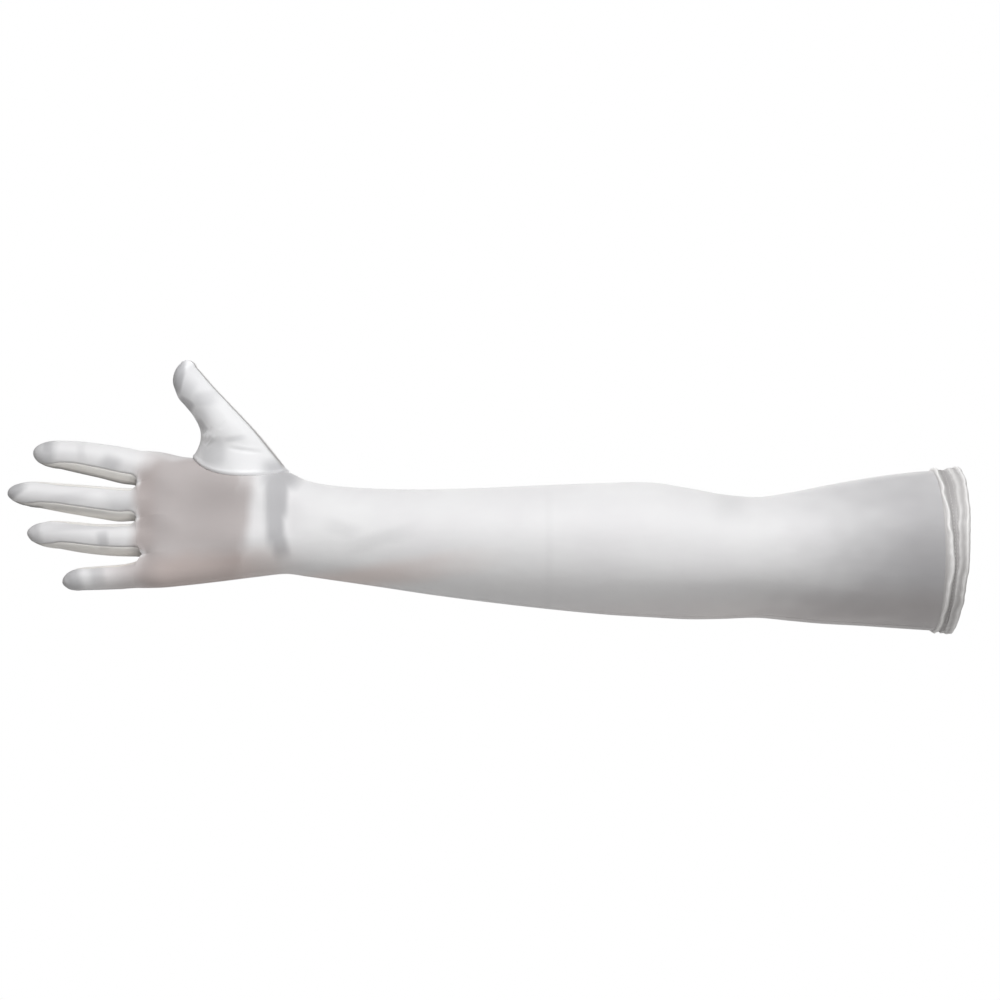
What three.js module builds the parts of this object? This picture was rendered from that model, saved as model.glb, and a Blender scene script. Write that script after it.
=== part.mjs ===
// A long dress glove of white stretch satin for a right arm, in the shape that it has when worn: the arm
// lies along X with the fingers towards -X, the palm turned towards -Y and a little up, and the thumb up.
// The origin is the centre of the arm opening. It is sewn from a palm panel and a back panel, three side
// strips between the fingers, a set-in thumb and a turned hem. Every piece is an open, hollow wall.

import * as THREE from "three";

// Driving dimensions, in millimetres.
const CLOTH = 1.2; // wall of every panel
const SEAM_GAP = 0.34; // clearance between two panels at a seam
const HEM_WIDTH = 14; // the turned hem, measured along the arm
const WRIST_LENGTH = 14; // from the thumb hole back to the narrow part of the wrist
const KNUCKLE_X = -489; // where the hand ends and the fingers start
const KNUCKLE_BLEND = 22; // length of palm over which the finger roots fade in
const FORKS = [-490.5, -490, -485.5]; // x of the fork after the index, middle and ring finger
const FORK_CURVE = 4.5; // how far the rounding of a fork reaches along the fingers
const FORK_SLIDE = 16; // length of finger over which the forks' own x fades out

// The oval hole for the thumb, over the edge of the hand: its middle, half its length along the hand, half
// its width in columns of the panels, and how far round it the columns bend, as a share of its size.
const THUMB_HOLE = { x: -428.7, halfLength: 29.7, halfColumns: 5, spread: 0.8 };

// How the hand is turned about the arm, so that the palm looks up a little.
const ROLL_DEGREES = 19;
const ROLL = THREE.MathUtils.degToRad(ROLL_DEGREES);
const TO_THUMB_SIDE = new THREE.Vector3(0, Math.sin(ROLL), Math.cos(ROLL));
const TO_PALM_SIDE = new THREE.Vector3(0, -Math.cos(ROLL), Math.sin(ROLL));

// Sections of the arm and hand from the opening to the knuckles: centre height z, half height as seen from
// the palm side, half depth front to back, and how square the section is (2 is an ellipse).
const ARM = [
  { x: 0, z: -0.1, half: 48.4, depth: 47.6, square: 2.0 },
  { x: -12, z: -0.3, half: 48.0, depth: 47.2, square: 2.0 },
  { x: -32, z: -0.6, half: 46.5, depth: 46.0, square: 2.0 },
  { x: -56, z: -1.5, half: 44.0, depth: 44.5, square: 2.0 },
  { x: -80, z: -3.0, half: 41.2, depth: 42.5, square: 2.0 },
  { x: -98, z: -4.0, half: 38.6, depth: 41.0, square: 2.0 },
  { x: -118, z: -4.5, half: 36.3, depth: 40.0, square: 2.0 },
  { x: -140, z: -3.9, half: 37.5, depth: 39.5, square: 2.0 },
  { x: -160, z: -2.1, half: 39.4, depth: 39.0, square: 2.0 },
  { x: -182, z: 0.1, half: 40.4, depth: 38.0, square: 2.0 },
  { x: -212, z: 0.9, half: 39.3, depth: 36.5, square: 2.0 },
  { x: -260, z: 2.4, half: 35.9, depth: 32.0, square: 2.0 },
  { x: -308, z: 4.5, half: 32.0, depth: 27.0, square: 2.0 },
  { x: -345, z: 7.4, half: 29.3, depth: 23.0, square: 2.05 },
  { x: -372, z: 10.3, half: 28.2, depth: 20.5, square: 2.1 },
  { x: -388, z: 12.9, half: 28.5, depth: 19.0, square: 2.1 },
  { x: -400, z: 16.4, half: 30.4, depth: 18.6, square: 2.15 },
  { x: -416, z: 17.4, half: 32.9, depth: 18.2, square: 2.25 },
  { x: -440, z: 17.7, half: 36.1, depth: 16.4, square: 2.35 },
  { x: -464, z: 17.3, half: 38.3, depth: 14.6, square: 2.45 },
  { x: -489, z: 18.3, half: 41.0, depth: 13.2, square: 2.5 },
];

// Swellings and hollows of the palm: place along the arm, share of the way from the thumb side to the little
// finger side, how far they spread along and across, and their height off the palm.
const PALM_RELIEF = [
  { name: "thumb ball", x: -428, share: 0.24, spreadX: 20, spreadShare: 0.16, height: 6.0 },
  { name: "heel", x: -424, share: 0.76, spreadX: 24, spreadShare: 0.16, height: 4.0 },
  { name: "hollow", x: -458, share: 0.5, spreadX: 22, spreadShare: 0.2, height: -2.0 },
  { name: "wrist fold", x: -405, share: 0.45, spreadX: 7, spreadShare: 0.4, height: -1.8 },
];

// Fingers from the thumb side to the little finger side. Each row is a section: centre y and z, half height
// as seen from the palm side, half depth. The domed end runs from the last row to the tip.
const FINGERS = [
  {
    name: "index",
    rows: [
      { x: -489, y: 10.0, z: 49.2, half: 10.5, depth: 9.6 },
      { x: -501, y: 8.5, z: 51.1, half: 11.1, depth: 9.6 },
      { x: -513, y: 6.0, z: 53.5, half: 10.4, depth: 9.2 },
      { x: -525, y: 3.0, z: 55.6, half: 9.7, depth: 8.8 },
      { x: -536, y: -1.0, z: 57.1, half: 8.5, depth: 8.0 },
    ],
    tip: { x: -551.4, y: -6.0, z: 57.8 },
  },
  {
    name: "middle",
    rows: [
      { x: -489, y: 2.7, z: 27.2, half: 9.6, depth: 9.7 },
      { x: -501, y: 1.2, z: 27.2, half: 10.2, depth: 9.7 },
      { x: -512, y: -1.0, z: 28.5, half: 9.8, depth: 9.4 },
      { x: -524, y: -4.0, z: 30.0, half: 9.2, depth: 8.9 },
      { x: -535, y: -8.0, z: 31.5, half: 8.6, depth: 8.4 },
      { x: -546, y: -12.0, z: 33.1, half: 7.8, depth: 7.6 },
    ],
    tip: { x: -564.1, y: -18.0, z: 34.2 },
  },
  {
    name: "ring",
    rows: [
      { x: -489, y: -4.1, z: 6.0, half: 9.9, depth: 9.3 },
      { x: -500, y: -5.5, z: 6.0, half: 9.7, depth: 9.3 },
      { x: -511, y: -7.5, z: 6.4, half: 9.2, depth: 9.0 },
      { x: -523, y: -10.0, z: 7.8, half: 9.0, depth: 8.6 },
      { x: -534, y: -13.0, z: 9.3, half: 8.3, depth: 8.0 },
    ],
    tip: { x: -552.3, y: -19.0, z: 10.2 },
  },
  {
    name: "little",
    rows: [
      { x: -489, y: -10.9, z: -14.0, half: 8.4, depth: 8.2 },
      { x: -498, y: -12.0, z: -15.6, half: 7.4, depth: 7.8 },
      { x: -510, y: -14.0, z: -16.3, half: 7.1, depth: 7.2 },
      { x: -520, y: -16.2, z: -16.8, half: 6.8, depth: 6.6 },
    ],
    tip: { x: -531.4, y: -19.0, z: -18.2 },
  },
];

// The thumb, from its first section above the hole to the last one before the domed end: the edge nearer
// the fingers and the edge nearer the wrist as seen from the palm side, its centre's y, and half its depth.
const THUMB = [
  { fingerX: -453.9, fingerZ: 62.0, wristX: -409.3, wristZ: 59.5, y: 5.0, depth: 14.0 },
  { fingerX: -452.2, fingerZ: 67.3, wristX: -418.5, wristZ: 70.9, y: 2.5, depth: 12.8 },
  { fingerX: -452.6, fingerZ: 73.0, wristX: -427.0, wristZ: 80.2, y: 0.5, depth: 11.6 },
  { fingerX: -456.1, fingerZ: 80.3, wristX: -436.3, wristZ: 90.1, y: -2.0, depth: 10.4 },
  { fingerX: -460.5, fingerZ: 86.1, wristX: -443.1, wristZ: 97.5, y: -4.5, depth: 9.8 },
  { fingerX: -464.3, fingerZ: 90.8, wristX: -448.8, wristZ: 104.2, y: -6.5, depth: 9.4 },
  { fingerX: -466.8, fingerZ: 97.5, wristX: -453.0, wristZ: 109.2, y: -8.5, depth: 8.6 },
  { fingerX: -466.1, fingerZ: 103.6, wristX: -455.6, wristZ: 112.3, y: -9.5, depth: 6.6 },
];
const THUMB_TIP = new THREE.Vector3(-463.2, -10, 111);

// Outline of the turned hem: how far in from the edge of the opening, how far off the cloth below it, and
// how far it slants towards the edge at the top and away from it at the bottom. It has a narrow stitched
// ridge, a groove and the rolled, elasticated edge.
const HEM_OUTLINE = [
  { inset: 14.0, rise: 0.1, slant: 0 },
  { inset: 13.2, rise: 1.1, slant: 0 },
  { inset: 11.4, rise: 1.6, slant: 0 },
  { inset: 9.6, rise: 1.0, slant: 0 },
  { inset: 8.8, rise: 0.1, slant: 0.5 },
  { inset: 7.0, rise: 0.0, slant: 1.5 },
  { inset: 5.9, rise: 1.2, slant: 2.4 },
  { inset: 4.2, rise: 1.8, slant: 2.8 },
  { inset: 2.0, rise: 1.9, slant: 2.8 },
  { inset: 0.5, rise: 1.1, slant: 2.8 },
  { inset: 0.0, rise: -0.3, slant: 2.8 },
  { inset: 0.8, rise: -1.5, slant: 2.8 },
  { inset: 7.0, rise: -1.5, slant: 1.5 },
  { inset: 14.0, rise: -1.3, slant: 0 },
];

// Where a finger's panels meet its side strip, in degrees round from the middle of the palm side. The strips
// narrow towards the fingertips, from this share of the finger on.
const STRIP_SEAM = 42;
const STRIP_SEAM_AT_TIP = 83;
const STRIP_TAPER_FROM = 0.75;

// How finely each surface is cut into faces.
const FINGER_COLUMNS = 5; // across the palm side of one finger
const STRIP_COLUMNS = 2; // across the strip between two fingers
const HALF_COLUMNS = FINGER_COLUMNS * FINGERS.length; // across the palm panel
const COLUMNS = 2 * HALF_COLUMNS; // round the arm
const SLEEVE_ROWS = 17;
const WRIST_ROWS = 2;
const HOLE_ROWS = 8;
const KNUCKLE_ROWS = 5;
const FORK_ROWS = [0.3, 1]; // shares of the fork's curve
const FINGER_ROWS = 4;
const THUMB_STEPS = [0.5, 1, 2, 3, 4, 5, 6, 7, 8];
const DOME_ANGLES = [0, 28, 52, 72]; // degrees along a domed fingertip
const STRIP_END_ROW = 2; // the row of the dome at which the side strips end
const ARC_STEPS = 160; // straight steps by which the length of a section is measured

const degrees = THREE.MathUtils.degToRad;
const mix = THREE.MathUtils.lerp;
const wrap = (column) => THREE.MathUtils.euclideanModulo(column, COLUMNS);
const smooth = (low, high, value) => THREE.MathUtils.smoothstep(value, low, high);
const lastOf = (list) => list[list.length - 1];

// Evenly spaced values after the first one, up to and including the last.
function stepsAfter(from, to, count) {
  return Array.from({ length: count }, (_, i) => mix(from, to, (i + 1) / count));
}

// The smooth curve through the rows of a table, read where its key column has this value, for every column.
function read(rows, key, value) {
  const rising = lastOf(rows)[key] > rows[0][key];
  const next = rows.findIndex((row) => (rising ? row[key] > value : row[key] < value));
  if (next === 0) return { ...rows[0] };
  if (next < 0) return { ...lastOf(rows) };
  const [before, from, to] = [rows[Math.max(next - 2, 0)], rows[next - 1], rows[next]];
  const after = rows[Math.min(next + 1, rows.length - 1)];
  const span = to[key] - from[key];
  const t = (value - from[key]) / span;
  const result = {};
  for (const column of Object.keys(from)) {
    const rise = to[column] - from[column];
    const slopeIn = ((to[column] - before[column]) / (to[key] - before[key])) * span;
    const slopeOut = ((after[column] - from[column]) / (after[key] - from[key])) * span;
    const square = (3 * rise - 2 * slopeIn - slopeOut) * t ** 2;
    const cube = (slopeIn + slopeOut - 2 * rise) * t ** 3;
    result[column] = from[column] + slopeIn * t + square + cube;
  }
  return result;
}

// A point on the palm side of a squared ellipse, at a share of its arc from the thumb side round to the
// little finger side.
function arcPoint(halfWidth, halfDepth, square, share) {
  const points = [];
  const lengths = [0];
  for (let i = 0; i <= ARC_STEPS; i++) {
    const angle = (Math.PI * i) / ARC_STEPS;
    const across = Math.sign(Math.cos(angle)) * Math.abs(Math.cos(angle)) ** (2 / square) * halfWidth;
    const up = Math.max(Math.sin(angle), 0) ** (2 / square) * halfDepth;
    points.push(new THREE.Vector2(across, up));
    if (i > 0) lengths.push(lengths[i - 1] + points[i].distanceTo(points[i - 1]));
  }
  const wanted = share * lastOf(lengths);
  const i = Math.max(1, lengths.findIndex((length) => length >= wanted));
  return points[i - 1].clone().lerp(points[i], (wanted - lengths[i - 1]) / (lengths[i] - lengths[i - 1]));
}

// The arm and palm before the finger roots fade in. side is 1 on the palm side and -1 on the back.
function armPoint(x, share, side) {
  const { z, half, depth, square } = read(ARM, "x", x);
  const width = Math.sqrt(half ** 2 - (depth * Math.sin(ROLL)) ** 2) / Math.cos(ROLL);
  const arc = arcPoint(width, depth, square, share);
  let height = arc.y * side;
  if (side > 0) {
    for (const bump of PALM_RELIEF) {
      const away = Math.hypot((x - bump.x) / bump.spreadX, (share - bump.share) / bump.spreadShare);
      height += bump.height * Math.exp(-(away ** 2)) * Math.sin(Math.PI * share);
    }
  }
  return new THREE.Vector3(x, 0, z)
    .addScaledVector(TO_THUMB_SIDE, arc.x)
    .addScaledVector(TO_PALM_SIDE, height);
}

// A finger's own round surface. angle is in degrees from the middle of its palm side towards the little
// finger side.
function roundFinger(finger, x, angle) {
  const last = lastOf(finger.rows);
  const section = read(finger.rows, "x", Math.max(x, last.x));
  let size = 1;
  if (x < last.x) {
    const along = Math.min((last.x - x) / (last.x - finger.tip.x), 1);
    size = Math.sqrt(1 - along ** 2);
    section.y = mix(last.y, finger.tip.y, along);
    section.z = mix(last.z, finger.tip.z, along);
  }
  const turn = degrees(angle) - ROLL;
  const y = section.y - section.depth * size * Math.cos(turn);
  const z = section.z - section.half * size * Math.sin(turn);
  return new THREE.Vector3(x, y, z);
}

// A finger's surface with its forks. Near a fork each side is drawn to the line midway between the two
// fingers, and the fork lies at an x of its own.
function fingerPoint(index, x, angle) {
  const point = roundFinger(FINGERS[index], x, angle);
  const turned = THREE.MathUtils.euclideanModulo(angle + 180, 360) - 180;
  const neighbour = FINGERS[index + Math.sign(turned)];
  if (!neighbour || turned === 0) return point;
  const fromFront = Math.abs(turned);
  const seamAngle = THREE.MathUtils.clamp(fromFront, STRIP_SEAM, 180 - STRIP_SEAM) * Math.sign(turned);
  const share = Math.min(fromFront, 180 - fromFront, STRIP_SEAM) / STRIP_SEAM;
  const past = KNUCKLE_X - x;
  const pull = 1 - Math.sqrt(1 - (1 - THREE.MathUtils.clamp(past / FORK_CURVE, 0, 1)) ** 2);
  const gap = roundFinger(neighbour, x, -seamAngle).sub(roundFinger(FINGERS[index], x, seamAngle));
  point.addScaledVector(gap, (share ** 2 * pull) / 2);
  const fork = FORKS[turned > 0 ? index : index - 1];
  point.x += (fork - KNUCKLE_X) * share ** 2 * (1 - smooth(0, FORK_SLIDE, past));
  return point;
}

// The x of each row of a domed fingertip.
function domeRows(finger) {
  return DOME_ANGLES.map((angle) => mix(lastOf(finger.rows).x, finger.tip.x, Math.sin(degrees(angle))));
}

// The angle of the seams of a finger's side strips at x.
function stripSeam(finger, x) {
  const start = mix(KNUCKLE_X, lastOf(finger.rows).x, STRIP_TAPER_FROM);
  const end = domeRows(finger)[STRIP_END_ROW];
  return mix(STRIP_SEAM, STRIP_SEAM_AT_TIP, THREE.MathUtils.clamp((start - x) / (start - end), 0, 1) ** 2);
}

// The angle of a place across a finger's palm side. share is 0 at its edge nearer the thumb. The outermost
// fingers have no strip on their free side, so their palm side reaches round to the side seam.
function panelAngle(index, share, seam) {
  const from = index === 0 ? -90 : -seam;
  const to = index === FINGERS.length - 1 ? 90 : seam;
  return mix(from, to, share);
}

// The angle of a place across a strip whose middle is at this angle. That middle faces straight up or down.
function stripAngle(middle, share, seam) {
  const reach = 90 - seam;
  const towardsEdge = 2 * share - 1;
  const levelled = (ROLL_DEGREES * reach * (1 - Math.abs(towardsEdge))) / (90 - STRIP_SEAM);
  return middle + reach * towardsEdge + levelled;
}

// Rows and columns near the thumb bend from a rectangle to the oval of the thumb hole.
function roundTheHole(x, column) {
  const along = (x - THUMB_HOLE.x) / THUMB_HOLE.halfLength;
  const across = (column > HALF_COLUMNS ? column - COLUMNS : column) / THUMB_HOLE.halfColumns;
  const reach = Math.max(Math.abs(along), Math.abs(across));
  if (reach === 0) return { x, column };
  const fade = 1 - smooth(1, 1 + THUMB_HOLE.spread, reach);
  const size = mix(1, reach / Math.hypot(along, across), fade);
  return {
    x: THUMB_HOLE.x + along * size * THUMB_HOLE.halfLength,
    column: wrap(across * size * THUMB_HOLE.halfColumns),
  };
}

// The whole arm and hand, up to the knuckles. Columns run from the thumb side over the palm and home over
// the back.
function bodyPoint(gridX, gridColumn) {
  const { x, column } = roundTheHole(gridX, wrap(gridColumn));
  const side = column <= HALF_COLUMNS ? 1 : -1;
  const across = side > 0 ? column : COLUMNS - column;
  const palm = armPoint(x, across / HALF_COLUMNS, side);
  const blend = smooth(0, KNUCKLE_BLEND, KNUCKLE_X + KNUCKLE_BLEND - x);
  if (blend === 0) return palm;
  const index = Math.min(Math.floor(across / FINGER_COLUMNS), FINGERS.length - 1);
  const angle = panelAngle(index, across / FINGER_COLUMNS - index, STRIP_SEAM);
  return palm.lerp(fingerPoint(index, x, side > 0 ? angle : 180 - angle), blend);
}

// A surface with shared points, and faces that name the piece they belong to.
class Skin {
  points = [];
  faces = [];

  add(point) {
    return this.points.push(point) - 1;
  }

  face(piece, ...corners) {
    this.faces.push({ piece, corners: corners.filter((corner, i) => corners.indexOf(corner) === i) });
  }

  // Faces between two closed rings of points. pieceAt names the piece of each one.
  join(ring, nextRing, pieceAt) {
    ring.forEach((corner, i) => {
      const after = (i + 1) % ring.length;
      this.face(pieceAt(i), corner, nextRing[i], nextRing[after], ring[after]);
    });
  }

  normals() {
    const normals = this.points.map(() => new THREE.Vector3());
    for (const { corners } of this.faces) {
      const [a, b, c, d] = corners.map((corner) => this.points[corner]);
      const side = d ? d.clone().sub(b) : a.clone().sub(b);
      const normal = c.clone().sub(a).cross(side);
      corners.forEach((corner) => normals[corner].add(normal));
    }
    return normals.map((normal) => normal.normalize());
  }
}

// One piece of cloth cut from the skin: its outer faces, the same faces one cloth thickness deeper, and a
// rim between them. Its edge is drawn back by half the seam gap.
function clothPiece(skin, normals, piece) {
  const faces = skin.faces.filter((face) => face.piece === piece).map((face) => face.corners);
  const sides = faces.flatMap((corners) =>
    corners.map((corner, i) => [corner, corners[(i + 1) % corners.length]]),
  );
  const known = new Set(sides.map(([from, to]) => `${from} ${to}`));
  const rim = sides.filter(([from, to]) => !known.has(`${to} ${from}`));
  const after = new Map(rim);
  const before = new Map(rim.map(([from, to]) => [to, from]));
  const positions = [];
  const placed = new Map();
  const place = (corner) => {
    if (placed.has(corner)) return placed.get(corner);
    const outer = skin.points[corner].clone();
    if (after.has(corner)) {
      const along = skin.points[after.get(corner)].clone().sub(skin.points[before.get(corner)]);
      outer.addScaledVector(along.cross(normals[corner]).normalize(), -SEAM_GAP / 2);
    }
    const inner = outer.clone().addScaledVector(normals[corner], -CLOTH);
    placed.set(corner, positions.length / 3);
    positions.push(...outer.toArray(), ...inner.toArray());
    return placed.get(corner);
  };
  const triangles = [];
  for (const corners of faces) {
    const [a, b, c, d] = corners.map(place);
    triangles.push([a, b, c], [c + 1, b + 1, a + 1]);
    if (d !== undefined) triangles.push([a, c, d], [d + 1, c + 1, a + 1]);
  }
  for (const [from, to] of rim) {
    const [a, b] = [place(from), place(to)];
    // The two rims of a seam fold along the same diagonal, so that they stay parallel.
    if (from < to) triangles.push([b, a, a + 1], [b, a + 1, b + 1]);
    else triangles.push([b, a, b + 1], [a, a + 1, b + 1]);
  }
  return new THREE.BufferGeometry()
    .setAttribute("position", new THREE.Float32BufferAttribute(positions, 3))
    .setIndex(triangles.flat());
}

// The names of the strips between the fingers.
const FOURCHETTES = FINGERS.slice(1).map((finger, i) => `fourchette_${FINGERS[i].name}_${finger.name}`);

// The points of a fork between two fingers, from the palm side to the back.
function forkPoints(skin, knuckles, index) {
  const column = FINGER_COLUMNS * (index + 1);
  const inner = stepsAfter(STRIP_SEAM, 180 - STRIP_SEAM, STRIP_COLUMNS).slice(0, -1);
  const middle = inner.map((angle) => skin.add(fingerPoint(index, KNUCKLE_X, angle)));
  return [knuckles[column], ...middle, knuckles[COLUMNS - column]];
}

// The stretches round a finger, each with the points of the knuckles or forks that it starts from.
function fingerStretches(knuckles, forks, index) {
  const from = FINGER_COLUMNS * index;
  const backFrom = COLUMNS - from - FINGER_COLUMNS;
  const palmRoots = knuckles.slice(from, from + FINGER_COLUMNS);
  const backRoots = knuckles.slice(backFrom, backFrom + FINGER_COLUMNS);
  const lowRoots = forks[index]?.slice(0, -1) ?? [];
  const highRoots = forks[index - 1]?.toReversed().slice(0, -1) ?? [];
  return [
    { side: "palm", piece: "palm_panel", roots: palmRoots },
    { side: "low", piece: FOURCHETTES[index], roots: lowRoots },
    { side: "back", piece: "back_panel", roots: backRoots },
    { side: "high", piece: FOURCHETTES[index - 1], roots: highRoots },
  ];
}

// Each finger is a tube of rings from the knuckles to its domed tip. Past the end of a side strip its
// columns belong to the panel that they lie beside.
function addFinger(skin, stretches, index) {
  const finger = FINGERS[index];
  const places = stretches.flatMap(({ side, piece, roots }) =>
    roots.map((root, i) => ({ side, piece, root, share: i / roots.length })),
  );
  const angleOf = ({ side, share }, seam) => {
    if (side === "palm") return panelAngle(index, share, seam);
    if (side === "back") return 180 - panelAngle(index, 1 - share, seam);
    return stripAngle(side === "low" ? 90 : 270, share, seam);
  };
  const pastStrip = ({ side, piece, share }) => {
    if (side === "palm" || side === "back") return piece;
    return (side === "low") === share < 0.5 ? "palm_panel" : "back_panel";
  };
  const forkRows = FORK_ROWS.map((share) => KNUCKLE_X - share * FORK_CURVE);
  const straightRows = stepsAfter(lastOf(forkRows), lastOf(finger.rows).x, FINGER_ROWS + 1).slice(0, -1);
  const stations = [...forkRows, ...straightRows, ...domeRows(finger)];
  const stripRows = stations.length - DOME_ANGLES.length + STRIP_END_ROW + 1;
  let ring = places.map(({ root }) => root);
  stations.forEach((x, row) => {
    const seam = stripSeam(finger, x);
    const nextRing = places.map((place) => skin.add(fingerPoint(index, x, angleOf(place, seam))));
    skin.join(ring, nextRing, (i) => (row < stripRows ? places[i].piece : pastStrip(places[i])));
    ring = nextRing;
  });
  const tip = skin.add(new THREE.Vector3(finger.tip.x, finger.tip.y, finger.tip.z));
  skin.join(ring, ring.map(() => tip), (i) => pastStrip(places[i]));
}

// One section of the thumb at a turn round it: 0 is the wrist side and a quarter turn the palm side.
function thumbSection(row, turn) {
  const wrist = new THREE.Vector3(row.wristX, row.y, row.wristZ);
  const point = new THREE.Vector3(row.fingerX, row.y, row.fingerZ).lerp(wrist, (1 + Math.cos(turn)) / 2);
  point.y -= row.depth * Math.sin(turn);
  return point;
}

// The thumb from a point of its oval seam, where step is 0, through its sections 1, 2 and on.
function thumbPoint(seamPoint, turn, step) {
  const line = [seamPoint, ...THUMB.map((row) => thumbSection(row, turn))];
  const rows = line.map((point, i) => ({ step: i, x: point.x, y: point.y, z: point.z }));
  const { x, y, z } = read(rows, "step", step);
  return new THREE.Vector3(x, y, z);
}

// The rows and columns of the oval seam, once round it from its wrist end over the palm side.
function seamPlaces(firstRow) {
  const lastRow = firstRow + HOLE_ROWS;
  const side = THUMB_HOLE.halfColumns;
  const places = [];
  for (let row = firstRow; row < lastRow; row++) places.push({ row, column: side });
  for (let column = side; column > -side; column--) places.push({ row: lastRow, column });
  for (let row = lastRow; row > firstRow; row--) places.push({ row, column: -side });
  for (let column = -side; column < side; column++) places.push({ row: firstRow, column });
  return places;
}

// The thumb, a tube of rings from its seam to its domed tip.
function addThumb(skin, grid, stations, firstRow) {
  const seam = seamPlaces(firstRow).map(({ row, column }) => {
    const along = (stations[row] - THUMB_HOLE.x) / THUMB_HOLE.halfLength;
    return { corner: grid[row][wrap(column)], turn: Math.atan2(column / THUMB_HOLE.halfColumns, along) };
  });
  const rings = [seam.map(({ corner }) => corner)];
  for (const step of THUMB_STEPS) {
    rings.push(seam.map(({ corner, turn }) => skin.add(thumbPoint(skin.points[corner], turn, step))));
  }
  const last = lastOf(THUMB);
  const centre = thumbSection(last, 0).lerp(thumbSection(last, Math.PI), 0.5);
  for (const angle of DOME_ANGLES.slice(1).map(degrees)) {
    const middle = centre.clone().lerp(THUMB_TIP, Math.sin(angle));
    const outward = (turn) => thumbSection(last, turn).sub(centre).multiplyScalar(Math.cos(angle));
    rings.push(seam.map(({ turn }) => skin.add(outward(turn).add(middle))));
  }
  const pole = skin.add(THUMB_TIP.clone());
  rings.push(seam.map(() => pole));
  for (let i = 0; i + 1 < rings.length; i++) skin.join(rings[i], rings[i + 1], () => "thumb_piece");
}

// The whole glove but for its hem: the panels with the hole for the thumb, the fingers with their strips,
// and the thumb.
function gloveSkin() {
  const skin = new Skin();
  const holeStart = THUMB_HOLE.x + THUMB_HOLE.halfLength;
  const holeEnd = THUMB_HOLE.x - THUMB_HOLE.halfLength;
  const stations = [
    -HEM_WIDTH,
    ...stepsAfter(-HEM_WIDTH, holeStart + WRIST_LENGTH, SLEEVE_ROWS),
    ...stepsAfter(holeStart + WRIST_LENGTH, holeStart, WRIST_ROWS),
    ...stepsAfter(holeStart, holeEnd, HOLE_ROWS),
    ...stepsAfter(holeEnd, KNUCKLE_X, KNUCKLE_ROWS),
  ];
  const columns = Array.from({ length: COLUMNS }, (_, column) => column);
  const grid = stations.map((x) => columns.map((column) => skin.add(bodyPoint(x, column))));
  const firstHoleRow = SLEEVE_ROWS + WRIST_ROWS;
  const inHole = (row, column) => {
    const nearThumb = column < THUMB_HOLE.halfColumns || column >= COLUMNS - THUMB_HOLE.halfColumns;
    return nearThumb && row >= firstHoleRow && row < firstHoleRow + HOLE_ROWS;
  };
  for (let row = 0; row + 1 < stations.length; row++) {
    for (const column of columns.filter((candidate) => !inHole(row, candidate))) {
      const next = wrap(column + 1);
      const piece = column < HALF_COLUMNS ? "palm_panel" : "back_panel";
      skin.face(piece, grid[row][column], grid[row + 1][column], grid[row + 1][next], grid[row][next]);
    }
  }
  const knuckles = lastOf(grid);
  const forks = FORKS.map((_, index) => forkPoints(skin, knuckles, index));
  FINGERS.forEach((_, index) => addFinger(skin, fingerStretches(knuckles, forks, index), index));
  addThumb(skin, grid, stations, firstHoleRow);
  return skin;
}

// The turned hem: its outline carried round the arm opening as a closed ring.
function hemGeometry() {
  const hem = new Skin();
  const step = 0.5;
  const rings = HEM_OUTLINE.map(({ inset, rise, slant }) => {
    const x = inset === HEM_WIDTH ? SEAM_GAP / 2 - inset : -inset;
    return Array.from({ length: COLUMNS }, (_, column) => {
      const along = bodyPoint(x - step, column).sub(bodyPoint(x + step, column));
      const round = bodyPoint(x, column + step).sub(bodyPoint(x, column - step));
      const out = along.cross(round).setX(0).normalize();
      const point = bodyPoint(x, column).addScaledVector(out, rise);
      point.x += slant * out.z;
      return hem.add(point);
    });
  });
  rings.forEach((ring, i) => hem.join(rings[(i + 1) % rings.length], ring, () => "hem_band"));
  const positions = hem.points.flatMap((point) => point.toArray());
  return new THREE.BufferGeometry()
    .setAttribute("position", new THREE.Float32BufferAttribute(positions, 3))
    .setIndex(hem.faces.flatMap(({ corners: [a, b, c, d] }) => [a, b, c, a, c, d]));
}

const satin = new THREE.MeshStandardMaterial({ color: 0xe6e4e4, roughness: 0.38, metalness: 0 });
const stripSatin = new THREE.MeshStandardMaterial({ color: 0xd6d4d2, roughness: 0.42, metalness: 0 });
const hemSatin = new THREE.MeshStandardMaterial({ color: 0xebeceb, roughness: 0.36, metalness: 0 });

const glove = new THREE.Group();
function addPiece(name, geometry, material) {
  const mesh = new THREE.Mesh(geometry, material);
  mesh.name = name;
  glove.add(mesh);
}

const skin = gloveSkin();
const normals = skin.normals();
addPiece("palm_panel", clothPiece(skin, normals, "palm_panel"), satin);
addPiece("back_panel", clothPiece(skin, normals, "back_panel"), satin);
for (const name of FOURCHETTES) addPiece(name, clothPiece(skin, normals, name), stripSatin);
addPiece("thumb_piece", clothPiece(skin, normals, "thumb_piece"), satin);
addPiece("hem_band", hemGeometry(), hemSatin);

export default glove;
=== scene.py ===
"""A long dress glove of white stretch satin, in its worn shape.

It is put together as the real one is: two panels, three side strips and a thumb are cut from one satin and
sewn edge to edge, and a turned hem closes the sleeve. Tables are in millimetres, and meshes in metres.
"""

import math

import bpy
import numpy as np
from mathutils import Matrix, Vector, noise
from mathutils.kdtree import KDTree


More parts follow.
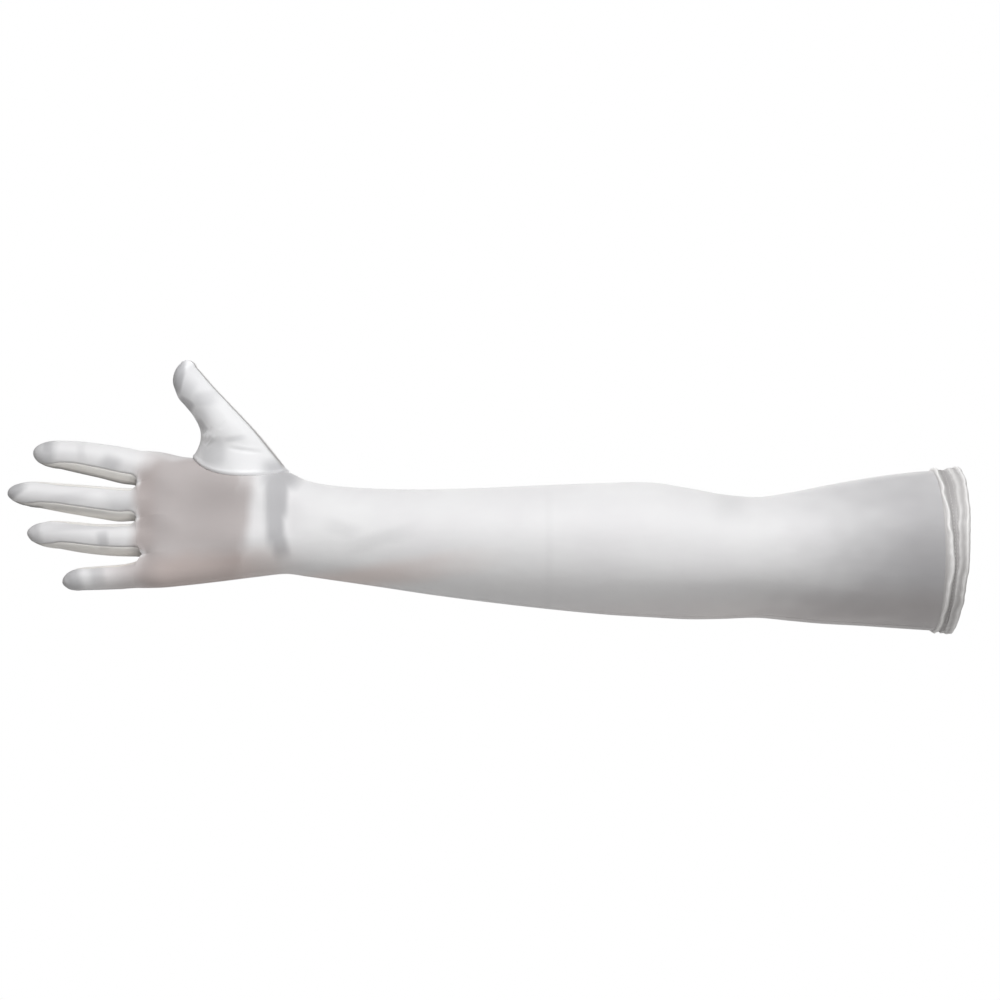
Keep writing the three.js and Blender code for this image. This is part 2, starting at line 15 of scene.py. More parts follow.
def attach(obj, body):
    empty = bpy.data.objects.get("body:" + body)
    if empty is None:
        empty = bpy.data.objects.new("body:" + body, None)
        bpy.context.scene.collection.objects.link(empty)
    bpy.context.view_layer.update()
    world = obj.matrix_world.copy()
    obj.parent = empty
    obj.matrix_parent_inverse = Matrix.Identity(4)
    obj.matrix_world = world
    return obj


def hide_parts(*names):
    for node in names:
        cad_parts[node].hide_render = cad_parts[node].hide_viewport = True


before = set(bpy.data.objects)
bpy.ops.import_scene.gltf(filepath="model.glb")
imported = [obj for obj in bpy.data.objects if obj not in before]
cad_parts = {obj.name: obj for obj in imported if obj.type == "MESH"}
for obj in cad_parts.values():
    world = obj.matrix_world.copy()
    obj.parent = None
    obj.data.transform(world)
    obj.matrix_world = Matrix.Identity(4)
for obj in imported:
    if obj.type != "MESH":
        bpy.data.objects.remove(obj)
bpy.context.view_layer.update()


# Camera.
# It stands level with the palm, 1.4 m in front of it, and takes in 0.6 m of the sleeve's own plane.
CAMERA_PLACE = (-0.2724, -1.4, 0.030)
CAMERA_VIEW_WIDTH = 0.6
SENSOR_WIDTH, CLIP_START = 36, 0.05


def add_object(name, data):
    made = bpy.data.objects.new(name, data)
    bpy.context.scene.collection.objects.link(made)
    return made


camera_data = bpy.data.cameras.new("camera")
camera_data.sensor_width = SENSOR_WIDTH
camera_data.lens = SENSOR_WIDTH * -CAMERA_PLACE[1] / CAMERA_VIEW_WIDTH
camera_data.clip_start = CLIP_START
camera = add_object("camera", camera_data)
camera.location = CAMERA_PLACE
camera.rotation_euler = (math.pi / 2, 0, 0)
bpy.context.scene.camera = camera


# The satin in its worn shape.
# The two panels, the side strips and the thumb are one skin of satin here, which is then cut along its seams,
# so that the pieces meet edge to edge. It has the full, round shape of a glove in wear.
MM = 0.001
CLOTH = 0.9  # wall of every piece
SEAM_GAP = 0.05  # clearance between two pieces
HEM_WIDTH = 14.0
WRIST_X = -372.0
KNUCKLE_X = -489.0  # where the hand ends and the fingers start
KNUCKLE_BLEND = 28.0  # length of palm over which the finger roots fade in
VALLEY_FADE = 3.0  # how much sooner the valleys between them fade
FORKS = (-490.5, -490.0, -485.5)  # x of the fork after the index, middle and ring finger
FORK_CURVE = 4.5  # how far the rounding of a fork reaches along the fingers
FORK_SLIDE = 16.0  # length of finger over which the forks' own x fades out
ROLL = math.radians(19)  # the hand's turn about the sleeve, which makes the palm look up a little
TO_THUMB_SIDE = np.array((0, math.sin(ROLL), math.cos(ROLL)))
TO_PALM_SIDE = np.array((0, -math.cos(ROLL), math.sin(ROLL)))

# The oval hole for the thumb: its middle, half its length along the hand, half its width in columns, and how
# far round it the columns bend, as a share of its size.
HOLE_X, HOLE_HALF_LENGTH, HOLE_HALF_COLUMNS, HOLE_SPREAD = -428.7, 29.7, 5, 0.8

# Sections of the sleeve and hand: x, centre height z, half height, half depth, squareness (2 is an ellipse).
ARM = (
    (0, -0.1, 48.4, 47.6, 2.0),
    (-12, -0.3, 48.0, 47.2, 2.0),
    (-32, -0.6, 46.5, 46.0, 2.0),
    (-56, -1.5, 44.0, 44.5, 2.0),
    (-80, -3.0, 41.2, 42.5, 2.0),
    (-98, -4.0, 38.6, 41.0, 2.0),
    (-118, -4.5, 36.3, 40.0, 2.0),
    (-140, -3.9, 37.5, 39.5, 2.0),
    (-160, -2.1, 39.4, 39.0, 2.0),
    (-182, 0.1, 40.4, 38.0, 2.0),
    (-212, 0.9, 39.3, 36.5, 2.0),
    (-260, 2.4, 35.9, 32.0, 2.0),
    (-308, 4.5, 32.0, 27.0, 2.0),
    (-345, 7.4, 29.3, 23.0, 2.05),
    (-372, 10.3, 28.2, 20.5, 2.1),
    (-388, 12.9, 28.5, 19.0, 2.1),
    (-400, 16.4, 30.4, 18.6, 2.15),
    (-416, 17.4, 32.9, 18.2, 2.25),
    (-440, 17.7, 36.1, 16.4, 2.35),
    (-464, 17.3, 38.3, 14.6, 2.45),
    (-489, 18.3, 41.0, 13.2, 2.5),
)

# Swellings and hollows of the palm side: x, share of the way from the thumb side to the little finger side,
# how far they spread along and across, and their height. They are the thumb ball, heel, hollow, wrist fold and
# elbow.
RELIEF = (
    (-428, 0.24, 20, 0.16, 6.0),
    (-424, 0.76, 24, 0.16, 4.0),
    (-458, 0.50, 22, 0.20, -2.0),
    (-399, 0.45, 7, 0.40, -2.2),
    (-145, 0.78, 65, 0.16, 5.0),
)

# The fingers, from the thumb side on: rows of x, centre y and z, half height and half depth, then the tip.
INDEX = (
    (-489, 10.0, 49.2, 10.5, 9.6),
    (-501, 8.5, 51.1, 11.1, 9.6),
    (-513, 6.0, 53.5, 10.4, 9.2),
    (-525, 3.0, 55.6, 9.7, 8.8),
    (-536, -1.0, 57.1, 8.5, 8.0),
)
MIDDLE = (
    (-489, 2.7, 27.2, 9.6, 9.7),
    (-501, 1.2, 27.2, 10.2, 9.7),
    (-512, -1.0, 28.5, 9.8, 9.4),
    (-524, -4.0, 30.0, 9.2, 8.9),
    (-535, -8.0, 31.5, 8.6, 8.4),
    (-546, -12.0, 33.1, 7.8, 7.6),
)
RING = (
    (-489, -4.1, 6.0, 9.9, 9.3),
    (-500, -5.5, 6.0, 9.7, 9.3),
    (-511, -7.5, 6.4, 9.2, 9.0),
    (-523, -10.0, 7.8, 9.0, 8.6),
    (-534, -13.0, 9.3, 8.3, 8.0),
)
LITTLE = (
    (-489, -10.9, -14.0, 8.4, 8.2),
    (-498, -12.0, -15.6, 7.4, 7.8),
    (-510, -14.0, -16.3, 7.1, 7.2),
    (-520, -16.2, -16.8, 6.8, 6.6),
)
FINGERS = (INDEX, MIDDLE, RING, LITTLE)
TIPS = ((-551.4, -6.0, 57.8), (-564.1, -18.0, 34.2), (-552.3, -19.0, 10.2), (-531.4, -19.0, -18.2))

# The thumb from the hole to its last section: x and z of its edge nearer the fingers, x and z of its edge
# nearer the wrist, y of its centre, and half its depth.
THUMB = (
    (-453.9, 62.0, -409.3, 59.5, 5.0, 14.0),
    (-452.2, 67.3, -418.5, 70.9, 2.5, 12.8),
    (-452.6, 73.0, -427.0, 80.2, 0.5, 11.6),
    (-456.1, 80.3, -436.3, 90.1, -2.0, 10.4),
    (-460.5, 86.1, -443.1, 97.5, -4.5, 9.8),
    (-464.3, 90.8, -448.8, 104.2, -6.5, 9.4),
    (-466.8, 97.5, -453.0, 109.2, -8.5, 8.6),
)
THUMB_TIP = np.array((-462.6, -10.3, 111.3))

# Where a finger's panels meet its side strip, in degrees round from the middle of its palm side. The strips
# narrow to a point at the fingertips, from this share of the finger on.
STRIP_SEAM = 42.0
STRIP_SEAM_AT_TIP = 88.0
STRIP_TAPER_FROM = 0.75
STRIP_END = 52  # how far up the dome of the fingertip, in degrees

# How finely the skin is laid out. Rows and columns crowd together at the seams.
SLEEVE_ROWS, WRIST_ROWS, HOLE_ROWS, HAND_ROWS = 160, 16, 38, 22
CROWDING, ONE_SIDED_CROWDING = 0.85, 1.7
FINGER_ROW = 1.3  # space between two rows of a finger
ARC_STEPS = 160
FINGER_COLUMNS = 5
HALF_COLUMNS = FINGER_COLUMNS * len(FINGERS)
COLUMNS = 2 * HALF_COLUMNS
CROWDED = np.array((0, 0.01, 0.025, 0.05, 0.08, 0.12))
ACROSS_PANEL = np.concatenate((CROWDED, np.linspace(0.12, 0.88, 17)[1:-1], 1 - CROWDED[::-1]))
ACROSS_STRIP = np.array((0, 0.03, 0.08, 0.16, 0.28, 0.42, 0.58, 0.72, 0.84, 0.92, 0.97, 1))
FORK_ROWS = np.array((0.015, 0.06, 0.13, 0.24, 0.38, 0.55, 0.76, 1))
DOME = np.radians((0, 8, 16, 24, 31, 38, 45, STRIP_END, 59, 66, 72, 78, 84))
THUMB_ROWS = np.concatenate(((0.02, 0.05, 0.09, 0.15, 0.24, 0.36), np.linspace(0.5, len(THUMB), 78)))
TINY, SAME_PLACE, FAR = 1e-9, 0.01, 99.0


def smooth(low, high, value):
    share = np.clip((value - low) / (high - low), 0, 1)
    return share * share * (3 - 2 * share)


def mix(start, end, share):
    return start + (end - start) * share


def bell(away, reach):
    return np.exp(-((away / reach) ** 2))


def noise_at(places):
    return np.array([noise.noise(Vector(place)) for place in places])


def steps_after(start, end, count):
    return np.linspace(start, end, count + 1)[1:]


def read(keys, values, places):
    """The smooth curve through rows of values, read at these places along their keys."""
    keys, values = np.array(keys, float), np.array(values, float)
    if keys[-1] < keys[0]:
        keys, values = keys[::-1], values[::-1]
    places = np.clip(places, keys[0], keys[-1])
    end = np.clip(np.searchsorted(keys, places, side="right"), 1, len(keys) - 1)
    start, before, beyond = end - 1, np.maximum(end - 2, 0), np.minimum(end + 1, len(keys) - 1)
    wide = (-1,) + (1,) * (values.ndim - 1)
    span = (keys[end] - keys[start]).reshape(wide)
    t = (places - keys[start]).reshape(wide) / span
    rise = values[end] - values[start]
    slope_in = (values[end] - values[before]) * span / (keys[end] - keys[before]).reshape(wide)
    slope_out = (values[beyond] - values[start]) * span / (keys[beyond] - keys[start]).reshape(wide)
    square = (3 * rise - 2 * slope_in - slope_out) * t**2
    cube = (slope_in + slope_out - 2 * rise) * t**3
    return values[start] + slope_in * t + square + cube


def read_rows(rows, places):
    """The columns of a table, read at these values of its first column."""
    return read([row[0] for row in rows], [row[1:] for row in rows], places).T


def arc_point(width, depth, squareness, share):
    """Points across and off the palm side of squared ellipses, at a share of their arc from the thumb side."""
    angle = np.linspace(0, np.pi, ARC_STEPS + 1)
    power = 2 / squareness[:, None]
    across = np.sign(np.cos(angle)) * np.abs(np.cos(angle)) ** power * width[:, None]
    off = np.abs(np.sin(angle)) ** power * depth[:, None]
    steps = np.hypot(np.diff(across), np.diff(off))
    length = np.concatenate((np.zeros((len(width), 1)), np.cumsum(steps, axis=1)), axis=1)
    wanted = share * length[:, -1]
    rows = np.arange(len(width))
    after = np.clip((length < wanted[:, None]).sum(axis=1), 1, ARC_STEPS)
    part = (wanted - length[rows, after - 1]) / (length[rows, after] - length[rows, after - 1])
    angle = mix(angle[after - 1], angle[after], part)
    across = np.sign(np.cos(angle)) * np.abs(np.cos(angle)) ** power[:, 0] * width
    return across, np.clip(np.sin(angle), 0, 1) ** power[:, 0] * depth


def arm_point(x, share, side):
    """The sleeve and palm before the finger roots fade in. side is 1 on the palm side and -1 on the back."""
    z, half, depth, squareness = read_rows(ARM, x)
    width = np.sqrt(half**2 - (depth * math.sin(ROLL)) ** 2) / math.cos(ROLL)
    across, off = arc_point(width, depth, squareness, share)
    height = off * side
    for at, at_share, spread, spread_share, rise in RELIEF:
        away = ((x - at) / spread) ** 2 + ((share - at_share) / spread_share) ** 2
        height += np.where(side > 0, rise * np.exp(-away) * np.sin(np.pi * share), 0)
    centre = np.stack((x, np.zeros_like(x), z), axis=1)
    return centre + across[:, None] * TO_THUMB_SIDE + height[:, None] * TO_PALM_SIDE


def round_finger(index, x, angle):
    """A finger's own round surface. angle is in degrees from the middle of its palm side, downwards."""
    rows, tip = FINGERS[index], TIPS[index]
    y, z, half, depth = read_rows(rows, x)
    along = np.clip((rows[-1][0] - x) / (rows[-1][0] - tip[0]), 0, 1)
    size = np.sqrt(1 - along**2)
    y = np.where(along > 0, mix(rows[-1][1], tip[1], along), y)
    z = np.where(along > 0, mix(rows[-1][2], tip[2], along), z)
    turn = np.radians(angle) - ROLL
    return np.stack((x, y - depth * size * np.cos(turn), z - half * size * np.sin(turn)), axis=1)


def finger_point(index, x, angle):
    """A finger's surface with its forks, at which it is drawn to the line midway to the next finger."""
    point = round_finger(index, x, angle)
    turned = (angle + 180) % 360 - 180
    from_front = np.abs(turned)
    share = np.minimum(np.minimum(from_front, 180 - from_front), STRIP_SEAM) / STRIP_SEAM
    past = KNUCKLE_X - x
    pull = 1 - np.sqrt(1 - (1 - np.clip(past / FORK_CURVE, 0, 1)) ** 2)
    for side in (-1, 1):
        if not 0 <= index + side < len(FINGERS):
            continue
        seam = np.clip(from_front, STRIP_SEAM, 180 - STRIP_SEAM) * side
        gap = round_finger(index + side, x, -seam) - round_finger(index, x, seam)
        here = np.sign(turned) == side
        point += np.where(here, share**2 * pull / 2, 0)[:, None] * gap
        shift = (FORKS[min(index, index + side)] - KNUCKLE_X) * (1 - smooth(0, FORK_SLIDE, past))
        point[:, 0] += np.where(here, share**2 * shift, 0)
    return point


def strip_end_x(index):
    return mix(FINGERS[index][-1][0], TIPS[index][0], math.sin(math.radians(STRIP_END)))


def strip_seam(index, x):
    """The angle of the seams of a finger's side strips at x."""
    start = mix(KNUCKLE_X, FINGERS[index][-1][0], STRIP_TAPER_FROM)
    share = np.clip((start - x) / (start - strip_end_x(index)), 0, 1)
    return mix(STRIP_SEAM, STRIP_SEAM_AT_TIP, share**2)


def finger_corners(index, seam):
    """The angles at which a finger's palm side, lower strip, back and upper strip start, and the upper ends."""
    start = -90 if index == 0 else -seam
    end = 90 if index == len(FINGERS) - 1 else seam
    return start, end, 180 - end, 180 - start, 360 + start


def round_the_hole(x, column):
    """Rows and columns near the thumb bend from a rectangle to the oval of the thumb hole."""
    along = (x - HOLE_X) / HOLE_HALF_LENGTH
    across = np.where(column > HALF_COLUMNS, column - COLUMNS, column) / HOLE_HALF_COLUMNS
    reach = np.maximum(np.maximum(np.abs(along), np.abs(across)), TINY)
    fade = 1 - smooth(1, 1 + HOLE_SPREAD, reach)
    size = mix(1, reach / np.maximum(np.hypot(along, across), TINY), fade)
    return HOLE_X + along * size * HOLE_HALF_LENGTH, (across * size * HOLE_HALF_COLUMNS) % COLUMNS


def body_point(x, column):
    """The sleeve and hand up to the knuckles. Columns run from the thumb side over the palm and home."""
    x, column = round_the_hole(x, column % COLUMNS)
    on_palm = column <= HALF_COLUMNS
    across = np.where(on_palm, column, COLUMNS - column)
    point = arm_point(x, across / HALF_COLUMNS, np.where(on_palm, 1, -1))
    blend = smooth(0, KNUCKLE_BLEND, KNUCKLE_X + KNUCKLE_BLEND - x)
    for index in range(len(FINGERS)):
        place = across / FINGER_COLUMNS - index
        here = (blend > 0) & (place >= 0) & ((place < 1) | (index == len(FINGERS) - 1))
        angle = mix(*finger_corners(index, STRIP_SEAM)[:2], place[here])
        finger = finger_point(index, x[here], np.where(on_palm[here], angle, 180 - angle))
        off_centre = 2 * place[here] - 1
        beside_fork = (off_centre > 0) & (index < len(FINGERS) - 1) | (off_centre < 0) & (index > 0)
        share = blend[here] ** (1 + VALLEY_FADE * np.where(beside_fork, off_centre**2, 0))
        point[here] = mix(point[here], finger, share[:, None])
    return point


# The skin: its points, and its four-sided faces with the number of the piece that each belongs to.
PIECES = (
    "palm_panel",
    "back_panel",
    "fourchette_index_middle",
    "fourchette_middle_ring",
    "fourchette_ring_little",
    "thumb_piece",
)
PALM, BACK, FIRST_STRIP, THUMB_PIECE = 0, 1, 2, 5
skin_points, skin_columns, skin_faces, skin_pieces = [], [], [], []


def add_points(points, columns=None):
    """Adds points to the skin, with their columns of the cloth, and returns their numbers."""
    start = sum(len(block) for block in skin_points)
    skin_points.append(points)
    skin_columns.append(np.full(len(points), np.nan) if columns is None else columns)
    return np.arange(start, start + len(points))


def join(ring, next_ring, pieces):
    """Faces between two closed rings of points. A point that both share gives a three-sided face."""
    after, next_after = np.roll(ring, -1), np.roll(next_ring, -1)
    skin_faces.append(np.stack((ring, next_ring, next_after, after), axis=1))
    skin_pieces.append(pieces)


def crowded(start, end, count, at_start=True):
    """Values after start, up to and including end, crowded towards the end, and the start if it is a seam."""
    shares = np.linspace(0, 1, count + 1)
    if at_start:
        shares = mix(shares, smooth(0, 1, shares), CROWDING)
    else:
        shares = 1 - (1 - shares) ** ONE_SIDED_CROWDING
    return mix(start, end, shares[1:])


hole_start, hole_end = HOLE_X + HOLE_HALF_LENGTH, HOLE_X - HOLE_HALF_LENGTH
rows_before = np.concatenate(
    (
        (-HEM_WIDTH,),
        steps_after(-HEM_WIDTH, WRIST_X, SLEEVE_ROWS),
        crowded(WRIST_X, hole_start, WRIST_ROWS, at_start=False),
    )
)
rows_hole = crowded(hole_start, hole_end, HOLE_ROWS)
rows_after = crowded(hole_end, KNUCKLE_X, HAND_ROWS)
body_rows = np.concatenate((rows_before, rows_hole, rows_after))
panel_columns = FINGER_COLUMNS * (np.arange(2 * len(FINGERS))[:, None] + ACROSS_PANEL[None, :-1])
body_columns = panel_columns.ravel()
per_finger, around, half_around = len(ACROSS_PANEL) - 1, len(body_columns), len(body_columns) // 2

grid_x, grid_column = (part.ravel() for part in np.meshgrid(body_rows, body_columns, indexing="ij"))
grid = add_points(body_point(grid_x, grid_column), grid_column).reshape(len(body_rows), around)
first_hole_row = len(rows_before) - 1
last_hole_row = first_hole_row + len(rows_hole)
column_piece = np.where(np.arange(around) < half_around, PALM, BACK)
for row in range(len(body_rows) - 1):
    join(grid[row], grid[row + 1], column_piece)
    if first_hole_row <= row < last_hole_row:
        kept = (np.arange(around) >= per_finger) & (np.arange(around) < around - per_finger)
        skin_faces[-1], skin_pieces[-1] = skin_faces[-1][kept], column_piece[kept]

# The forks between the fingers, from the palm side to the back, and the fingers as tubes of rings. Past the
# end of a side strip its columns belong to the panel that they lie beside.
knuckles = grid[-1]
strip_inner = mix(STRIP_SEAM, 180 - STRIP_SEAM, ACROSS_STRIP[1:-1])
forks = []
for index in range(len(FINGERS) - 1):
    at = per_finger * (index + 1)
    middle = add_points(finger_point(index, np.full(len(strip_inner), KNUCKLE_X), strip_inner))
    forks.append(np.concatenate((knuckles[[at]], middle, knuckles[[around - at]])))

panel, strip = ACROSS_PANEL[:-1], ACROSS_STRIP[:-1]
near_start = strip < 0.5
for index in range(len(FINGERS)):
    at = per_finger * index
    last, tip = FINGERS[index][-1][0], TIPS[index]
    palm_column, back_column = FINGER_COLUMNS * index, COLUMNS - FINGER_COLUMNS * (index + 1)
    # the finger's sides: number of its first corner, shares of the way across, points at the root, piece, piece
    # past the end of the strip, and columns
    sides = [
        (0, panel, knuckles[at : at + per_finger], PALM, PALM, palm_column + FINGER_COLUMNS * panel),
        (2, panel, knuckles[-at - per_finger :][:per_finger], BACK, BACK, back_column + FINGER_COLUMNS * panel),
    ]
    if index < len(FINGERS) - 1:
        past, ends = np.where(near_start, PALM, BACK), (palm_column + FINGER_COLUMNS, back_column)
        root = forks[index][:-1]
        sides.insert(1, (1, strip, root, FIRST_STRIP + index, past, np.where(near_start, *ends)))
    if index > 0:
        past, ends = np.where(near_start, BACK, PALM), (back_column + FINGER_COLUMNS, palm_column)
        root = forks[index - 1][:0:-1]
        sides.append((3, strip, root, FIRST_STRIP + index - 1, past, np.where(near_start, *ends)))
    piece_of, past_strip = (
        np.concatenate([np.full(len(side[1]), side[part]) for side in sides]) for part in (3, 4)
    )
    ring, columns = (np.concatenate([side[part] for side in sides]) for part in (2, 5))
    past_fork = KNUCKLE_X - FORK_CURVE
    middle_rows = steps_after(past_fork, last, int((past_fork - last) / FINGER_ROW))[:-1]
    stations = (KNUCKLE_X - FORK_ROWS * FORK_CURVE, middle_rows, mix(last, tip[0], np.sin(DOME)))
    for x in np.concatenate(stations):
        corners = finger_corners(index, float(strip_seam(index, x)))
        angles = np.concatenate([mix(corners[side], corners[side + 1], shares) for side, shares, *_ in sides])
        next_ring = add_points(finger_point(index, np.full(len(angles), x), angles), columns)
        join(ring, next_ring, piece_of if x > strip_end_x(index) - SAME_PLACE else past_strip)
        ring = next_ring
    pole = np.repeat(add_points(np.array([tip])), len(ring))
    join(ring, pole, past_strip)

# The thumb, a tube of rings from the oval hole to its domed tip.
hole_numbers = np.concatenate((np.arange(around - per_finger, around), np.arange(per_finger + 1)))
hole_rows = np.arange(first_hole_row, last_hole_row + 1)
hole_along = (body_rows[hole_rows] - HOLE_X) / HOLE_HALF_LENGTH
hole_across = np.concatenate((-ACROSS_PANEL[:0:-1], ACROSS_PANEL))
hole_sides = (
    (hole_rows[:-1], hole_numbers[-1], 1, hole_along[:-1]),
    (last_hole_row, hole_numbers[:0:-1], hole_across[:0:-1], -1),
    (hole_rows[:0:-1], hole_numbers[0], -1, hole_along[:0:-1]),
    (first_hole_row, hole_numbers[:-1], hole_across[:-1], 1),
)
seam_numbers = np.concatenate([grid[rows, numbers] for rows, numbers, _, _ in hole_sides])
seam_turns = np.concatenate([np.arctan2(across, along) for _, _, across, along in hole_sides])


def thumb_section(row, turn):
    """One section of the thumb at turns round it: 0 is the wrist side and a quarter turn the palm side."""
    finger_x, finger_z, wrist_x, wrist_z, y, depth = row
    share = (1 + np.cos(turn)) / 2
    x, z = mix(finger_x, wrist_x, share), mix(finger_z, wrist_z, share)
    return np.stack((x, y - depth * np.sin(turn), z), axis=1)


thumb_lines = [np.concatenate(skin_points)[seam_numbers]] + [thumb_section(row, seam_turns) for row in THUMB]
thumb_rings = list(read(np.arange(len(thumb_lines)), thumb_lines, THUMB_ROWS))
thumb_centre = thumb_section(THUMB[-1], np.array((0, np.pi))).mean(axis=0)
for angle in DOME[1:]:
    outward = (thumb_section(THUMB[-1], seam_turns) - thumb_centre) * math.cos(angle)
    thumb_rings.append(outward + mix(thumb_centre, THUMB_TIP, math.sin(angle)))
ring = seam_numbers
thumb_numbers = np.full(len(ring), THUMB_PIECE)
for ring_points in thumb_rings:
    next_ring = add_points(ring_points)
    join(ring, next_ring, thumb_numbers)
    ring = next_ring
join(ring, np.repeat(add_points(THUMB_TIP[None]), len(ring)), thumb_numbers)

points, faces, face_piece = (np.concatenate(parts) for parts in (skin_points, skin_faces, skin_pieces))
thumb_turn = np.full(len(points), np.nan)
thumb_turn[-1 - len(thumb_rings) * len(ring) : -1] = np.tile(seam_turns, len(thumb_rings))


def point_normals(points, faces):
    """The outward normal at each point, from the faces round it."""
    a, b, c, d = (points[faces[:, corner]] for corner in range(4))
    normal = np.cross(c - a, d - b)
    total = np.zeros_like(points)
    for corner in range(4):
        np.add.at(total, faces[:, corner], normal)
    return total / np.maximum(np.linalg.norm(total, axis=1, keepdims=True), TINY)


# Folds of the worn glove, seen from the palm side: x and z of a fold's start, middle and end, its half width,
# and its height, which is below 0 for a crease.
FOLDS = (
    # crook of the thumb
    (-447, 72.8, -448.6, 71.0, -450, 69.0, 0.9, -0.5),
    (-444.5, 67.5, -447.0, 65.5, -449.5, 62.5, 1.1, -0.55),
    (-445.5, 70.5, -448.0, 68.5, -450.5, 66.0, 0.9, 0.35),
    (-443.8, 73.5, -445.4, 70.8, -447.4, 67.8, 0.7, -0.5),
    (-442.0, 68.5, -444.2, 67.0, -446.0, 64.8, 0.8, 0.4),
    (-436.0, 77.0, -438.2, 74.4, -439.5, 71.5, 0.9, -0.3),
    (-442.5, 65.0, -445.5, 63.2, -448.0, 61.0, 0.8, -0.35),
    # fingertips
    (-545.0, 63.5, -541.0, 59.0, -543.0, 53.0, 1.3, -0.42),
    (-562.5, 30.5, -557.5, 33.5, -554.5, 38.0, 1.2, -0.42),
    (-549.0, 15.0, -545.0, 11.5, -547.0, 6.5, 1.2, -0.38),
    (-529.5, -14.5, -525.5, -17.5, -527.5, -21.5, 1.1, -0.34),
    # web of the thumb
    (-434.5, 61.0, -425.0, 59.3, -413.0, 58.5, 1.0, -0.4),
    (-434.0, 63.0, -425.0, 61.2, -413.0, 60.5, 1.1, 0.3),
    # inner elbow
    (-137, 34.0, -138.5, 30.0, -140, 25.0, 2.4, -0.5),
    # faint crease across the lower sleeve
    (-243.5, 34.0, -244.5, 5.0, -243.5, -26.0, 1.2, -0.12),
)
FOLD_STEPS, FOLD_REACH, FOLD_END_POWER = 24, 60, 0.6
FOLD_FACING = (0.05, 0.45)


def fold_height(points, normals):
    """How far the folds lift or sink each point that looks towards the palm side."""
    height = np.zeros(len(points))
    t = np.linspace(0, 1, FOLD_STEPS + 1)[:, None]
    for x0, z0, x1, z1, x2, z2, width, rise in FOLDS:
        line = (1 - t) ** 2 * (x0, z0) + 2 * t * (1 - t) * (x1, z1) + t**2 * (x2, z2)
        near = np.hypot(points[:, 0] - x1, points[:, 2] - z1) < FOLD_REACH
        away = np.linalg.norm(points[near][:, None, (0, 2)] - line[None], axis=2)
        nearest = away.argmin(axis=1)
        ends = np.sin(np.pi * np.clip(nearest / FOLD_STEPS, 0, 1)) ** FOLD_END_POWER
        height[near] += rise * ends * bell(away.min(axis=1), width)
    return height * smooth(*FOLD_FACING, -normals[:, 1])


normals = point_normals(points, faces)
points += normals * fold_height(points, normals)[:, None]
normals = point_normals(points, faces)

# The seams: every edge that two pieces share. The cloth rolls inwards at them, and is drawn in at each stitch.
SEAM_DEPTH, THUMB_SEAM_DEPTH = 0.5, 0.22
SEAM_ROLL = 1.1
PUCKER_DEPTH, PUCKER_REACH, PUCKER_PITCH = 0.32, 1.6, 2.6
THUMB_LIP, FORK_LIP, FORK_LIP_REACH = 0.6, 0.6, 5.0
LIP_AWAY, LIP_WIDTH = 1.6, 0.7
SIDE_SEAM_TURN, SIDE_SEAM_RADIUS = math.radians(13), 11.0  # the seam up the thumb's outer side
SIDE_SEAM_DEPTH, SIDE_SEAM_LIP, SIDE_SEAM_LIP_AWAY = 0.6, 0.35, 3.2
PER_EDGE = 3  # places on each edge of a seam from which distances are taken


def edges_of(faces):
    """The start and end of each face's edges, and the number of the face."""
    start, end = faces.ravel(), np.roll(faces, -1, axis=1).ravel()
    real = np.flatnonzero(start != end)
    return start[real], end[real], real // faces.shape[1]


starts, ends, edge_face = edges_of(faces)
owners = face_piece[edge_face]
edge_key = np.minimum(starts, ends) * len(points) + np.maximum(starts, ends)
order = np.argsort(edge_key, kind="stable")
same = edge_key[order][1:] == edge_key[order][:-1]
first, second = order[:-1][same], order[1:][same]
is_seam = owners[first] != owners[second]
seam_edges = np.stack((starts[first], ends[first]), axis=1)[is_seam]
seam_line = np.unique(seam_edges)


def tree_of(places):
    tree = KDTree(len(places))
    for number, place in enumerate(places):
        tree.insert(place, number)
    tree.balance()
    return tree


edge_start, edge_end = (points[seam_edges[:, None, end]] for end in (0, 1))
seam_tree = tree_of(mix(edge_start, edge_end, (np.arange(PER_EDGE) / PER_EDGE)[:, None]).reshape(-1, 3))
seam_away = np.full(len(points), FAR)
seam_nearest = np.zeros((len(points), 3))
for number in np.unique(faces):
    place, _, away = seam_tree.find(points[number])
    seam_away[number], seam_nearest[number] = away, place
beside_thumb = np.isin(np.arange(len(points)), faces[face_piece == THUMB_PIECE])
fork_away = np.full(len(points), FAR)
for line in forks:
    for end in points[line[[0, -1]]]:
        fork_away = np.minimum(fork_away, np.linalg.norm(points - end, axis=1))
lip = np.where(beside_thumb, THUMB_LIP, 0) + FORK_LIP * bell(fork_away, FORK_LIP_REACH)
lip *= bell(seam_away - LIP_AWAY, LIP_WIDTH)
off_side_seam = (thumb_turn - SIDE_SEAM_TURN) * SIDE_SEAM_RADIUS
side_seam = SIDE_SEAM_LIP * bell(off_side_seam - SIDE_SEAM_LIP_AWAY, 1)
side_seam -= SIDE_SEAM_DEPTH * bell(off_side_seam, 1)
lip += np.nan_to_num(side_seam)
roll = 1 - np.sqrt(np.clip(1 - (1 - np.clip(seam_away / SEAM_ROLL, 0, 1)) ** 2, 0, 1))
thumb_tree = tree_of(points[seam_numbers])
seam_depth = np.full(len(points), SEAM_DEPTH)
for number in np.flatnonzero(seam_away < SEAM_ROLL):
    if thumb_tree.find(points[number])[2] < 2 * SEAM_ROLL:
        seam_depth[number] = THUMB_SEAM_DEPTH
near_seam = seam_away < 2 * PUCKER_REACH
pucker = np.zeros(len(points))
pucker[near_seam] = noise_at(seam_nearest[near_seam] / PUCKER_PITCH)
pucker *= bell(seam_away, PUCKER_REACH) * PUCKER_DEPTH
outer = points + normals * (lip + pucker - roll * seam_depth)[:, None]
inner = points - normals * CLOTH

